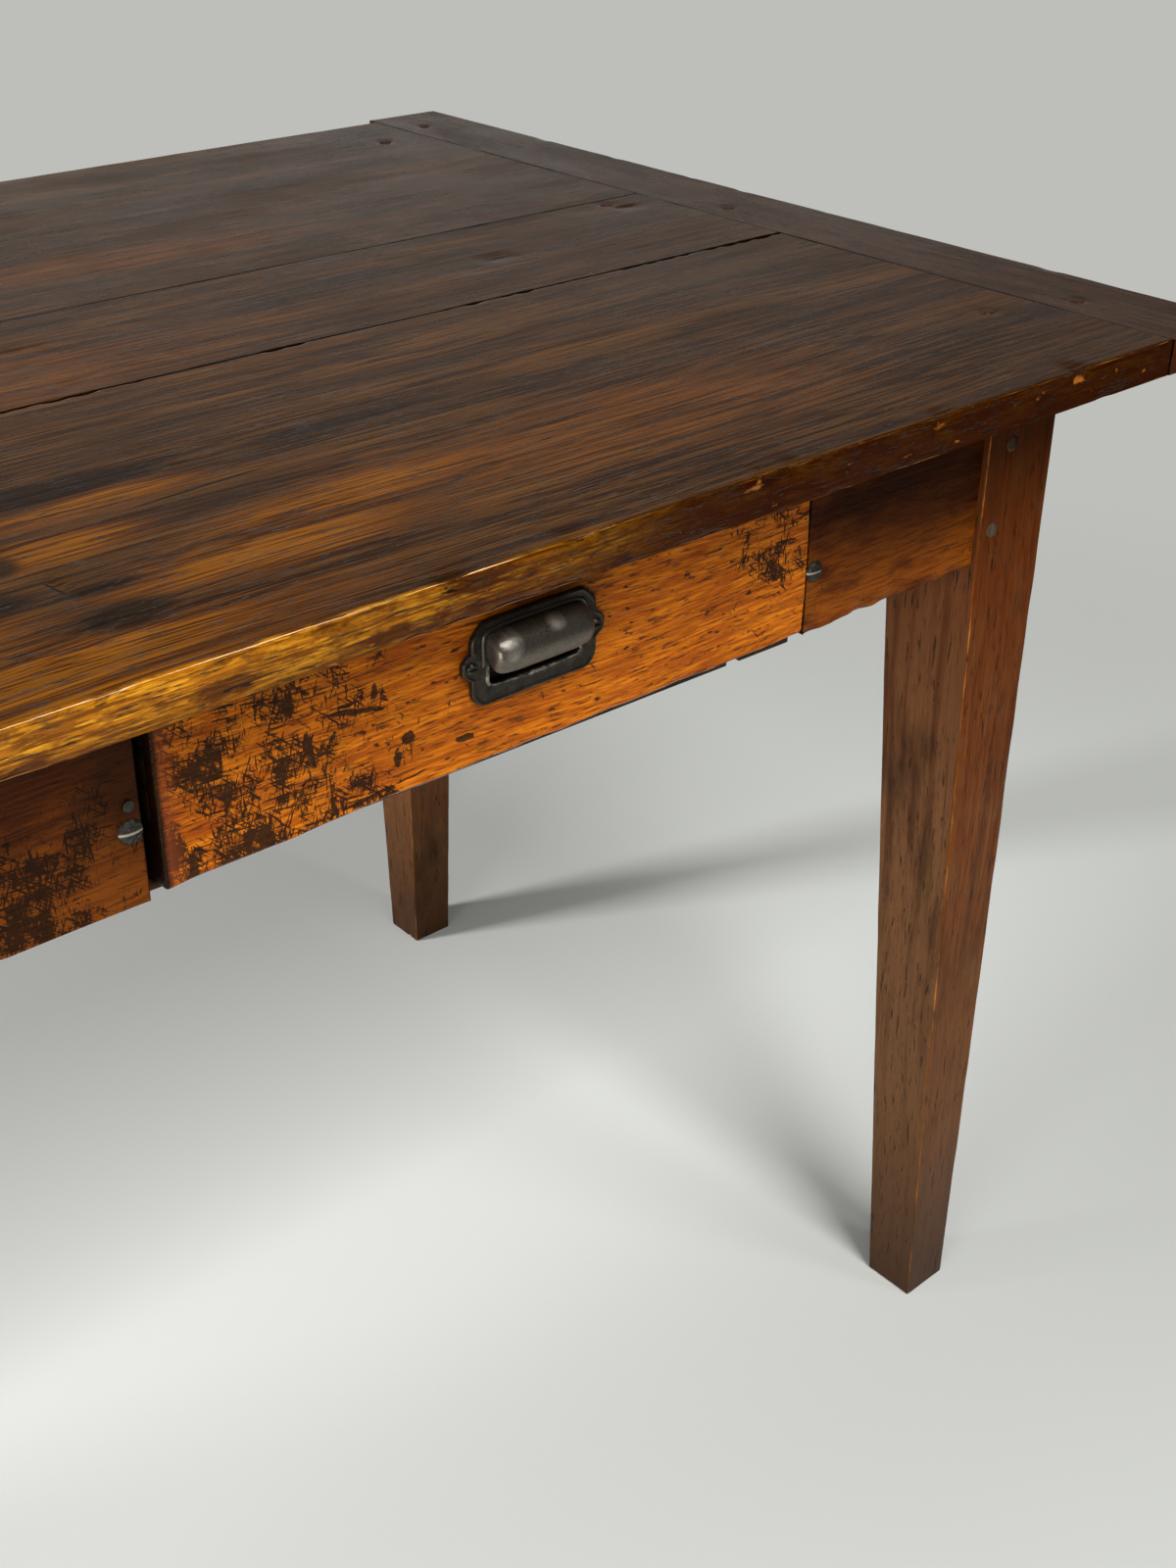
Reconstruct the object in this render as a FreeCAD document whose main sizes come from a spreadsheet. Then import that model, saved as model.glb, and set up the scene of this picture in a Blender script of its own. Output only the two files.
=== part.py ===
import FreeCAD, Part
import enum
import math
import os
import Sketcher
from types import SimpleNamespace

# Farmhouse table: boards in breadboard ends on a pegged frame of four tapered legs, with one drawer.
# Millimetres. X runs along the table, the drawer faces -Y, Z is up from the floor, origin under the centre.

# Driving sizes
SIZES = (
    ("table_length", 1800, "over both breadboard ends"),
    ("table_height", 760, "floor to the top face"),
    ("top_thickness", 22, "boards and breadboard ends"),
    ("front_plank_width", 315.4, "board along the drawer side"),
    ("middle_plank_width", 145.2, "narrow board between the joints"),
    ("back_plank_width", 325.6, "board along the far side"),
    ("front_crack", 1.2, "open joint behind the front board"),
    ("back_crack", 0.6, "closer joint in front of the back board"),
    ("breadboard_width", 68, "cross board at each end"),
    ("breadboard_front_step", 1, "cross board past the front board's edge"),
    ("breadboard_back_step", 10, "cross board past the shrunk back board's edge"),
    ("tongue_thickness", 8, "tongue on each board's end"),
    ("tongue_length", 48, "tongue into the cross board"),
    ("tongue_shoulder", 26, "from the outer edges in to the tongue"),
    ("tongue_play", 3, "room for the boards to swell in the groove"),
    ("edge_round_top", 5, "worn upper edge of the top"),
    ("edge_round_low", 3, "lower edge of the top"),
    ("board_peg_diameter", 9, "pegs through the cross boards"),
    ("board_peg_inset", 46, "table end to those pegs"),
    ("board_peg_edge", 85, "front edge to the first peg"),
    ("board_peg_back_edge", 38, "back edge to the last peg"),
    ("top_peg_diameter", 10, "pegs that hold the boards down"),
    ("top_peg_depth", 24, "those pegs below the boards"),
    ("top_peg_edge", 106, "front edge to the first of those pegs"),
    ("top_peg_middle", 10.8, "middle board's back edge to its own"),
    ("top_peg_back_edge", 67, "back edge to the last one"),
    ("end_overhang", 91, "top past the legs at each end"),
    ("side_overhang", 57, "boards past the legs at front and back"),
    ("leg_width", 63, "leg along X at the apron"),
    ("leg_depth", 72, "leg along Y at the apron"),
    ("foot_width", 40, "leg at the floor, both ways"),
    ("leg_block_drop", 6, "square block below the apron"),
    ("leg_round", 2.5, "worn corners of the legs"),
    ("apron_height", 119, "apron boards"),
    ("apron_thickness", 24, "apron boards"),
    ("apron_recess", 4.5, "leg face to apron face"),
    ("apron_round", 2, "worn lower corners of the aprons"),
    ("tenon_thickness", 10, "apron tenons"),
    ("long_tenon", 38, "tenons of the front and back aprons"),
    ("end_tenon", 44, "tenons of the end aprons"),
    ("tenon_top_shoulder", 30, "apron top to tenon"),
    ("tenon_low_shoulder", 10, "apron bottom to tenon"),
    ("mortise_slack", 2, "glue room past a tenon's end"),
    ("leg_peg_diameter", 10, "drawbore pegs"),
    ("leg_peg_length", 34, "drawbore pegs"),
    ("high_peg_drop", 43, "underside of the top to the upper pegs"),
    ("high_peg_inset", 22, "leg's inner face to the upper pegs"),
    ("low_peg_drop", 96, "underside of the top to the lower pegs"),
    ("low_peg_inset", 12, "leg's inner face to the lower pegs"),
    ("peg_fit", 0.1, "pegs and screws, gap all round"),
    ("drawer_margin", 149.5, "right leg to the drawer opening"),
    ("opening_width", 420, "between the front aprons"),
    ("drawer_gap_left", 6.5, "worn gap beside the drawer front"),
    ("drawer_gap_right", 1, "gap on the other side"),
    ("drawer_lift", 2.8, "apron bottom up to the drawer front"),
    ("drawer_head_gap", 1, "drawer front to the underside of the top"),
    ("drawer_proud", 2, "drawer front past the apron face"),
    ("drawer_front_thickness", 22, "drawer front"),
    ("drawer_round", 4, "worn edges of the drawer front"),
    ("drawer_depth", 460, "front face to the back of the drawer"),
    ("side_thickness", 12, "drawer sides"),
    ("side_height", 78, "drawer sides"),
    ("back_thickness", 12, "drawer back"),
    ("back_drop", 4, "drawer back below the sides"),
    ("bottom_thickness", 8, "drawer bottom"),
    ("bottom_lift", 6, "side's lower edge to its groove"),
    ("bottom_groove", 5, "groove for the bottom"),
    ("tail_length", 14, "lapped tails in the drawer front"),
    ("tail_base", 11, "tail at its root"),
    ("tail_end", 15, "tail at its end"),
    ("tail_margin", 2, "from the first and last tail to the board's edges"),
    ("running_gap", 0.3, "drawer to what it runs on"),
    ("guide_gap", 1, "drawer side to guide"),
    ("guide_width", 30, "cross bearers beside the drawer"),
    ("guide_height", 100, "cross bearers beside the drawer"),
    ("guide_housing", 8, "bearers let into the back apron"),
    ("runner_width", 20, "strips under the drawer sides"),
    ("runner_height", 16, "strips under the drawer sides"),
    ("rail_thickness", 11, "slat under the drawer front"),
    ("rail_depth", 45, "slat, front to back"),
    ("rail_setback", 13, "drawer face to the slat's front"),
    ("rail_notch_width", 11, "notch in the slat's front"),
    ("rail_notch_depth", 9, "notch in the slat's front"),
    ("rail_notch_place", 38.5, "right end of the opening to the notch"),
    ("stop_length", 25, "blocks behind the drawer"),
    ("stop_height", 18, "blocks behind the drawer"),
    ("guide_screw_head", 10.5, "slotted screws in the front aprons"),
    ("guide_screw_crown", 7, "flat of those heads"),
    ("guide_screw_rise", 2.4, "height of those heads"),
    ("guide_screw_shank", 5, "shank of those screws"),
    ("guide_screw_length", 40, "shank of those screws"),
    ("guide_screw_inset", 6, "end of the apron to the screw"),
    ("guide_screw_lift", 38.5, "apron bottom to the screw"),
    ("nail_head", 5.5, "nail above the left screw"),
    ("nail_rise", 1, "height of its head"),
    ("nail_shank", 2.5, "its shank"),
    ("nail_length", 36, "its shank"),
    ("nail_step", 13, "screw up to the nail"),
    ("pull_offset", 6, "middle of the drawer to the middle of the pull"),
    ("pull_lift", 56.2, "drawer front's lower edge to the middle of the pull"),
    ("plate_width", 80, "pull plate without its ears"),
    ("plate_height", 45, "pull plate"),
    ("plate_thickness", 3, "pull plate"),
    ("plate_low_round", 9, "lower corners of the plate"),
    ("plate_high_cut", 8, "cut upper corners of the plate"),
    ("plate_bevel", 1, "bevel round the plate's front"),
    ("ear_reach", 5.5, "pointed ears past the plate"),
    ("ear_tip", 7, "height of an ear at its tip"),
    ("ear_root", 15, "height of an ear at the plate"),
    ("cup_width", 63, "hood of the pull"),
    ("cup_radius", 11.3, "hood of the pull, outside"),
    ("cup_stand", 3.2, "drawer face to the centre of the hood's curve"),
    ("cup_raise", 4.7, "middle of the plate up to the centre of the hood's curve"),
    ("cup_lip_drop", 8, "centre of the hood's curve down to its lip"),
    ("cup_wall", 1.6, "hood of the pull"),
    ("cup_end_wall", 4.2, "ends of the hood"),
    ("cup_end_bevel", 4.5, "sloped ends of the hood"),
    ("window_width", 58, "finger opening"),
    ("window_low", 12.3, "middle of the plate down to the finger opening's edge"),
    ("window_high", 12, "middle of the plate up to the hidden edge of that opening"),
    ("pull_screw_reach", 39.7, "middle of the pull to its screws"),
    ("pull_screw_head", 6.4, "pull screws"),
    ("pull_screw_crown", 4.2, "flat of those heads"),
    ("pull_screw_rise", 1.2, "pull screws"),
    ("pull_screw_shank", 3.4, "pull screws"),
    ("pull_screw_length", 16, "pull screws"),
    ("slot_width", 1.2, "slot of a screw head"),
    ("slot_depth", 0.8, "slot of a screw head"),
)
# Dovetails at each corner of the drawer
TAIL_COUNT = 3
# Wooden pegs are split and whittled to eight sides
PEG_SIDES = 8
# Places closer than this are one place
SAME = 0.01

doc = FreeCAD.newDocument("farmhouse_table")
sheet = doc.addObject("Spreadsheet::Sheet", "sizes")
for row, (alias, number, note) in enumerate(SIZES, start=1):
    sheet.set(f"A{row}", note)
    sheet.set(f"B{row}", str(number))
    sheet.setAlias(f"B{row}", alias)
doc.recompute()


class Length:
    """A number together with the sheet formula that gives it."""

    def __init__(self, value, text):
        self.value = value
        self.text = text

    def __add__(self, other):
        other = length(other)
        return Length(self.value + other.value, f"({self.text} + {other.text})")

    def __sub__(self, other):
        other = length(other)
        return Length(self.value - other.value, f"({self.text} - {other.text})")

    def __mul__(self, factor):
        return Length(self.value * factor, f"({self.text} * {factor})")

    def __truediv__(self, divisor):
        return Length(self.value / divisor, f"({self.text} / {divisor})")

    def __neg__(self):
        return Length(-self.value, f"(0 - {self.text})")


def length(thing):
    """Makes a plain number a Length."""
    return thing if isinstance(thing, Length) else Length(float(thing), str(thing))


size = SimpleNamespace(**{alias: Length(sheet.get(alias), f"sizes.{alias}") for alias, _, _ in SIZES})

# Places worked out from the sizes
end_x = size.table_length / 2
shoulder_x = end_x - size.breadboard_width
planks_width = (size.front_plank_width + size.front_crack + size.middle_plank_width
                + size.back_crack + size.back_plank_width)
cross_half = (planks_width + size.breadboard_front_step + size.breadboard_back_step) / 2
front_y = -cross_half + size.breadboard_front_step
back_y = cross_half - size.breadboard_back_step
top_z = size.table_height
under_z = top_z - size.top_thickness
tongue_z = (under_z + top_z) / 2

leg_x = end_x - size.end_overhang
leg_inner_x = leg_x - size.leg_width
leg_front_y = front_y + size.side_overhang
leg_back_y = back_y - size.side_overhang
apron_z = under_z - size.apron_height
taper_z = apron_z - size.leg_block_drop

apron_front_y = leg_front_y + size.apron_recess
apron_behind_y = apron_front_y + size.apron_thickness
apron_back_y = leg_back_y - size.apron_recess
apron_back_inner_y = apron_back_y - size.apron_thickness
apron_end_x = leg_x - size.apron_recess
apron_end_inner_x = apron_end_x - size.apron_thickness
tenon_inset = (size.apron_thickness - size.tenon_thickness) / 2
tenon_low_z = apron_z + size.tenon_low_shoulder
tenon_high_z = under_z - size.tenon_top_shoulder

opening_right_x = leg_inner_x - size.drawer_margin
opening_left_x = opening_right_x - size.opening_width
drawer_right_x = opening_right_x - size.drawer_gap_right
drawer_left_x = opening_left_x + size.drawer_gap_left
drawer_face_y = apron_front_y - size.drawer_proud
drawer_inner_y = drawer_face_y + size.drawer_front_thickness
drawer_end_y = drawer_face_y + size.drawer_depth
drawer_low_z = apron_z + size.drawer_lift
drawer_high_z = under_z - size.drawer_head_gap
rail_top_z = drawer_low_z - size.running_gap
runner_top_z = rail_top_z + size.runner_height
side_low_z = runner_top_z + size.running_gap
side_high_z = side_low_z + size.side_height
bottom_low_z = side_low_z + size.bottom_lift
bottom_high_z = bottom_low_z + size.bottom_thickness
back_high_z = side_high_z - size.back_drop
back_inner_y = drawer_end_y - size.back_thickness
groove_left_x = drawer_left_x + size.side_thickness - size.bottom_groove
groove_right_x = drawer_right_x - size.side_thickness + size.bottom_groove
guide_right_x = drawer_right_x + size.guide_gap
guide_left_x = drawer_left_x - size.guide_gap

front_joint_y = front_y + size.front_plank_width
middle_y = front_joint_y + size.front_crack
back_joint_y = middle_y + size.middle_plank_width
back_plank_y = back_joint_y + size.back_crack
board_peg_ys = (front_y + size.board_peg_edge, (middle_y + back_joint_y) / 2,
                back_y - size.board_peg_back_edge)
top_peg_ys = (front_y + size.top_peg_edge, back_joint_y - size.top_peg_middle,
              back_y - size.top_peg_back_edge)
board_peg_x = end_x - size.board_peg_inset
top_peg_x = (apron_end_x + apron_end_inner_x) / 2
top_peg_zs = (under_z - size.top_peg_depth, under_z)
leg_pegs = ((size.high_peg_inset, under_z - size.high_peg_drop),
            (size.low_peg_inset, under_z - size.low_peg_drop))
guide_screw_z = apron_z + size.guide_screw_lift
guide_screw_xs = (opening_left_x - size.guide_screw_inset, opening_right_x + size.guide_screw_inset)
nail_z = guide_screw_z + size.nail_step
pull_x = (drawer_right_x + drawer_left_x) / 2 + size.pull_offset
pull_z = drawer_low_z + size.pull_lift
cup_z = pull_z + size.cup_raise
cup_y = drawer_face_y - size.cup_stand
lip_z = cup_z - size.cup_lip_drop
plate_face_y = drawer_face_y - size.plate_thickness
pull_screw_xs = (pull_x - size.pull_screw_reach, pull_x + size.pull_screw_reach)

# Drawing and shaping helpers
PLANES = {"x": "YZ_Plane", "y": "XZ_Plane", "z": "XY_Plane"}
SKETCH_AXES = {"x": ("y", "z"), "y": ("x", "z"), "z": ("x", "y")}
pieces = []


class Spot(enum.IntEnum):
    """How a sketch numbers its origin and the points of a line or an arc."""
    ORIGIN = -1
    START = 1
    END = 2
    CENTRE = 3


def piece(label, kind="PartDesign::Body"):
    """A new sub-part; its label names its file."""
    thing = doc.addObject(kind, label)
    thing.Label = label
    pieces.append(thing)
    return thing


def mirrored(sign, low, high):
    """A span, or for sign -1 its mirror image, still from low to high."""
    return (low, high) if sign > 0 else (-high, -low)


def sketch_at(body, axis, level):
    """An empty sketch square to an axis, at a level along it."""
    sketch = body.newObject("Sketcher::SketchObject", "outline")
    plane = [feature for feature in body.Origin.OriginFeatures if feature.Role == PLANES[axis]][0]
    sketch.AttachmentSupport = [(plane, "")]
    sketch.MapMode = "FlatFace"
    # The XZ plane looks along -Y, so its offset counts backwards.
    offset = -length(level) if axis == "y" else length(level)
    sketch.setExpression("AttachmentOffset.Base.z", offset.text)
    return sketch


def bind(sketch, kind, *where):
    """A dimension of a sketch, tied to its formula; the last item is the Length."""
    amount = length(where[-1])
    index = sketch.addConstraint(Sketcher.Constraint(kind, *where[:-1], amount.value))
    sketch.setExpression(f"Constraints[{index}]", amount.text)


def bind_point(sketch, geometry, point, place):
    """Ties a point of a sketch to a pair of Lengths."""
    bind(sketch, "DistanceX", Spot.ORIGIN, Spot.START, geometry, point, place[0])
    bind(sketch, "DistanceY", Spot.ORIGIN, Spot.START, geometry, point, place[1])


def draw_polygon(sketch, corners):
    """A closed outline through the corners, each a pair of Lengths."""
    corners = [(length(u), length(v)) for u, v in corners]
    points = [FreeCAD.Vector(u.value, v.value, 0) for u, v in corners]
    first = sketch.GeometryCount
    count = len(points)
    for index in range(count):
        sketch.addGeometry(Part.LineSegment(points[index], points[(index + 1) % count]))
    for index in range(count):
        joint = (first + index, Spot.END, first + (index + 1) % count, Spot.START)
        sketch.addConstraint(Sketcher.Constraint("Coincident", *joint))
    for index, corner in enumerate(corners):
        bind_point(sketch, first + index, Spot.START, corner)


def draw_rounded(sketch, us, vs, radius):
    """A rectangle over two spans, each from low to high, with its corners rounded by tangent arcs."""
    r = radius.value
    left, right, low, high = us[0].value, us[1].value, vs[0].value, vs[1].value
    sides = (((left + r, low), (right - r, low)), ((right, low + r), (right, high - r)),
             ((right - r, high), (left + r, high)), ((left, high - r), (left, low + r)))
    centres = ((us[1] - radius, vs[0] + radius), (us[1] - radius, vs[1] - radius),
               (us[0] + radius, vs[1] - radius), (us[0] + radius, vs[0] + radius))
    lines, arcs = [], []
    for number, (start, end) in enumerate(sides):
        side = Part.LineSegment(FreeCAD.Vector(*start, 0), FreeCAD.Vector(*end, 0))
        lines.append(sketch.addGeometry(side))
        middle = FreeCAD.Vector(centres[number][0].value, centres[number][1].value, 0)
        circle = Part.Circle(middle, FreeCAD.Vector(0, 0, 1), r)
        turn = circle.parameter(FreeCAD.Vector(*end, 0))
        quarter = circle.parameter(FreeCAD.Vector(*sides[(number + 1) % 4][0], 0))
        arcs.append(sketch.addGeometry(Part.ArcOfCircle(circle, turn, quarter)))
    for number in range(4):
        ways_in = (lines[number], Spot.END, arcs[number], Spot.START)
        ways_out = (arcs[number], Spot.END, lines[(number + 1) % 4], Spot.START)
        sketch.addConstraint(Sketcher.Constraint("Tangent", *ways_in))
        sketch.addConstraint(Sketcher.Constraint("Tangent", *ways_out))
        bind_point(sketch, arcs[number], Spot.CENTRE, centres[number])
        bind(sketch, "Radius", arcs[number], radius)


def draw_circle(sketch, centre, diameter):
    """A circle about a pair of Lengths."""
    place = FreeCAD.Vector(length(centre[0]).value, length(centre[1]).value, 0)
    circle = sketch.addGeometry(Part.Circle(place, FreeCAD.Vector(0, 0, 1), diameter.value / 2))
    bind_point(sketch, circle, Spot.CENTRE, centre)
    bind(sketch, "Radius", circle, diameter / 2)


def draw_peg_hole(sketch, centre, diameter):
    """An eight-sided outline about a pair of Lengths, its corners on a circle."""
    radius = diameter / 2
    turns = [2 * math.pi * number / PEG_SIDES for number in range(PEG_SIDES)]
    draw_polygon(sketch, [(centre[0] + radius * math.cos(turn), centre[1] + radius * math.sin(turn))
                          for turn in turns])


def grow(body, axis, low, high, draw, *shape):
    """Pads what draw makes of shape, from low to high along an axis."""
    low, high = length(low), length(high)
    sketch = sketch_at(body, axis, high if axis == "y" else low)
    draw(sketch, *shape)
    pad = body.newObject("PartDesign::Pad", "pad")
    pad.Profile = sketch
    pad.setExpression("Length", (high - low).text)


def carve(body, axis, low, high, draw, *shape):
    """Pockets what draw makes of shape, from high down to low along an axis, and checks that it cuts."""
    low, high = length(low), length(high)
    sketch = sketch_at(body, axis, low if axis == "y" else high)
    draw(sketch, *shape)
    doc.recompute()
    before = body.Shape.Volume
    pocket = body.newObject("PartDesign::Pocket", "pocket")
    pocket.Profile = sketch
    pocket.setExpression("Length", (high - low).text)
    doc.recompute()
    if not body.Shape.Volume < before:
        raise RuntimeError(f"a pocket in {body.Label} cuts nothing")


def rectangle(us, vs):
    """Corners of the rectangle over two spans."""
    return (us[0], vs[0]), (us[1], vs[0]), (us[1], vs[1]), (us[0], vs[1])


def grow_box(body, xs, ys, zs):
    """Pads a block that fills three spans."""
    grow(body, "z", *zs, draw_polygon, rectangle(xs, ys))


def carve_box(body, xs, ys, zs):
    """Pockets a block that fills three spans."""
    carve(body, "z", *zs, draw_polygon, rectangle(xs, ys))


def carve_hole(body, axis, span, centre, diameter, draw=draw_circle):
    """A hole for a screw, with its fit all round."""
    carve(body, axis, *span, draw, centre, diameter + size.peg_fit * 2)


def carve_peg_hole(body, axis, span, centre, diameter):
    """A hole for a wooden peg, with its fit all round."""
    carve_hole(body, axis, span, centre, diameter, draw_peg_hole)


def edges_where(body, test):
    """Names of the edges of a body whose bounding box passes a test."""
    doc.recompute()
    return [f"Edge{number}" for number, edge in enumerate(body.Shape.Edges, start=1) if test(edge.BoundBox)]


def lies_at(low, high, level):
    """True where a span lies flat at a level."""
    return abs(low - level.value) < SAME and abs(high - level.value) < SAME


def ease(body, kind, amount_name, amount, test):
    """Rounds or bevels the edges that pass a test."""
    names = edges_where(body, test)
    if not names:
        raise RuntimeError(f"no edge to ease on {body.Label}")
    base = body.Tip
    feature = body.newObject(kind, "eased")
    feature.Base = (base, names)
    feature.setExpression(amount_name, amount.text)


def round_edges(body, radius, test):
    """Rounds the edges that pass a test."""
    ease(body, "PartDesign::Fillet", "Radius", radius, test)


def bevel_edges(body, amount, test):
    """Bevels the edges that pass a test."""
    ease(body, "PartDesign::Chamfer", "Size", amount, test)


def bar(kind, name, axis, span, centre):
    """A primitive that stands along an axis over a span, about a pair of Lengths."""
    turns = {"x": FreeCAD.Rotation(FreeCAD.Vector(0, 1, 0), 90),
             "y": FreeCAD.Rotation(FreeCAD.Vector(1, 0, 0), -90),
             "z": FreeCAD.Rotation()}
    thing = doc.addObject(kind, name)
    thing.Placement = FreeCAD.Placement(FreeCAD.Vector(), turns[axis])
    thing.setExpression("Height", (span[1] - span[0]).text)
    place = dict(zip(SKETCH_AXES[axis], centre))
    place[axis] = span[0]
    for letter in "xyz":
        thing.setExpression(f"Placement.Base.{letter}", length(place[letter]).text)
    return thing


def rod(name, axis, span, centre, diameter):
    """A round bar."""
    round_bar = bar("Part::Cylinder", name, axis, span, centre)
    round_bar.setExpression("Radius", (diameter / 2).text)
    return round_bar


def peg(name, axis, span, centre, diameter):
    """A wooden peg."""
    stick = bar("Part::Prism", name, axis, span, centre)
    stick.Polygon = PEG_SIDES
    stick.setExpression("Circumradius", (diameter / 2).text)
    return stick


def slotted_screw(name, seat_y, centre, head, crown, rise, shank, shank_length):
    """A screw driven along +Y: shank, coned head and slot; seat_y is where its head sits."""
    stem = rod(f"{name}_stem", "y", (seat_y, seat_y + shank_length), centre, shank)
    cap = doc.addObject("Part::Cone", f"{name}_cap")
    cap.Placement = FreeCAD.Placement(FreeCAD.Vector(), FreeCAD.Rotation(FreeCAD.Vector(1, 0, 0), 90))
    cap.setExpression("Radius1", (head / 2).text)
    cap.setExpression("Radius2", (crown / 2).text)
    cap.setExpression("Height", rise.text)
    slot = doc.addObject("Part::Box", f"{name}_slot")
    slot.setExpression("Length", head.text)
    slot.setExpression("Width", size.slot_depth.text)
    slot.setExpression("Height", size.slot_width.text)
    corner = (centre[0] - head / 2, seat_y - rise, centre[1] - size.slot_width / 2)
    for letter, cap_place, slot_place in zip("xyz", (centre[0], seat_y, centre[1]), corner):
        cap.setExpression(f"Placement.Base.{letter}", cap_place.text)
        slot.setExpression(f"Placement.Base.{letter}", slot_place.text)
    whole = doc.addObject("Part::Fuse", f"{name}_whole")
    whole.Base = stem
    whole.Tool = cap
    screw = doc.addObject("Part::Cut", name)
    screw.Base = whole
    screw.Tool = slot
    return screw


def group(label, members):
    """Separate solids that share one node."""
    compound = piece(label, "Part::Compound")
    compound.Links = members


# Top: boards with tongued ends
def plank(label, ys, tongue_ys, board_peg_y, top_peg_y):
    """One long board, its two tongues and the holes of its pegs."""
    body = piece(label)
    grow_box(body, (-shoulder_x, shoulder_x), ys, (under_z, top_z))
    tongue_zs = (tongue_z - size.tongue_thickness / 2, tongue_z + size.tongue_thickness / 2)
    for sign in (1, -1):
        tongue_xs = mirrored(sign, shoulder_x, shoulder_x + size.tongue_length)
        grow_box(body, tongue_xs, tongue_ys, tongue_zs)
    for sign in (1, -1):
        carve_peg_hole(body, "z", tongue_zs, (board_peg_x * sign, board_peg_y), size.board_peg_diameter)
        carve_peg_hole(body, "z", (under_z, top_z), (top_peg_x * sign, top_peg_y), size.top_peg_diameter)
    return body


def round_long_edge(body, edge_y):
    """Rounds the upper and lower corner of a board's free edge."""
    round_edges(body, size.edge_round_top,
                lambda box: lies_at(box.YMin, box.YMax, edge_y) and lies_at(box.ZMin, box.ZMax, top_z))
    round_edges(body, size.edge_round_low,
                lambda box: lies_at(box.YMin, box.YMax, edge_y) and lies_at(box.ZMin, box.ZMax, under_z))


tongue_front_y = front_y + size.tongue_shoulder
tongue_back_y = back_y - size.tongue_shoulder

front_plank = plank("top_plank_front", (front_y, front_joint_y), (tongue_front_y, front_joint_y),
                    board_peg_ys[0], top_peg_ys[0])
round_long_edge(front_plank, front_y)
plank("top_plank_middle", (middle_y, back_joint_y), (middle_y, back_joint_y), board_peg_ys[1], top_peg_ys[1])
back_plank = plank("top_plank_back", (back_plank_y, back_y), (back_plank_y, tongue_back_y),
                   board_peg_ys[2], top_peg_ys[2])
round_long_edge(back_plank, back_y)


# Top: breadboard ends
def breadboard(label, sign):
    """A cross board with a stopped groove for the tongues, rounded on its three free edges."""
    body = piece(label)
    grow_box(body, mirrored(sign, shoulder_x, end_x), (-cross_half, cross_half), (under_z, top_z))
    for level, radius in ((top_z, size.edge_round_top), (under_z, size.edge_round_low)):
        round_edges(body, radius, lambda box: lies_at(box.ZMin, box.ZMax, level) and (
            lies_at(box.XMin, box.XMax, end_x * sign)
            or lies_at(box.YMin, box.YMax, -cross_half)
            or lies_at(box.YMin, box.YMax, cross_half)))
    carve_box(body, mirrored(sign, shoulder_x, shoulder_x + size.tongue_length + size.mortise_slack),
              (tongue_front_y - size.tongue_play, tongue_back_y + size.tongue_play),
              (tongue_z - size.tongue_thickness / 2, tongue_z + size.tongue_thickness / 2))
    for peg_y in board_peg_ys:
        carve_peg_hole(body, "z", (under_z, top_z), (board_peg_x * sign, peg_y), size.board_peg_diameter)


breadboard("breadboard_end_right", 1)
breadboard("breadboard_end_left", -1)

group("breadboard_pegs", [
    peg("board_peg", "z", (under_z, top_z), (board_peg_x * sign, peg_y), size.board_peg_diameter)
    for sign in (1, -1) for peg_y in board_peg_ys])
group("top_pegs", [
    peg("top_peg", "z", (top_peg_zs[0], top_z), (top_peg_x * sign, peg_y), size.top_peg_diameter)
    for sign in (1, -1) for peg_y in top_peg_ys])


# Legs: a square block at the apron, then a taper on the two inner faces
def corner_spans(sign_y, depth):
    """From a leg's outer face in Y to a depth inside it, low to high."""
    if sign_y < 0:
        return leg_front_y, leg_front_y + depth
    return leg_back_y - depth, leg_back_y


def peg_places(sign_x, sign_y, along):
    """Where the two drawbore pegs of one apron enter a leg: span along the peg, then its centre."""
    for inset, peg_z in leg_pegs:
        if along == "y":
            span = corner_spans(sign_y, size.leg_peg_length)
            yield span, ((leg_inner_x + inset) * sign_x, peg_z)
        else:
            span = mirrored(sign_x, leg_x - size.leg_peg_length, leg_x)
            inner_y = leg_front_y + size.leg_depth if sign_y < 0 else leg_back_y - size.leg_depth
            yield span, (inner_y + inset * sign_y, peg_z)


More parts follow.
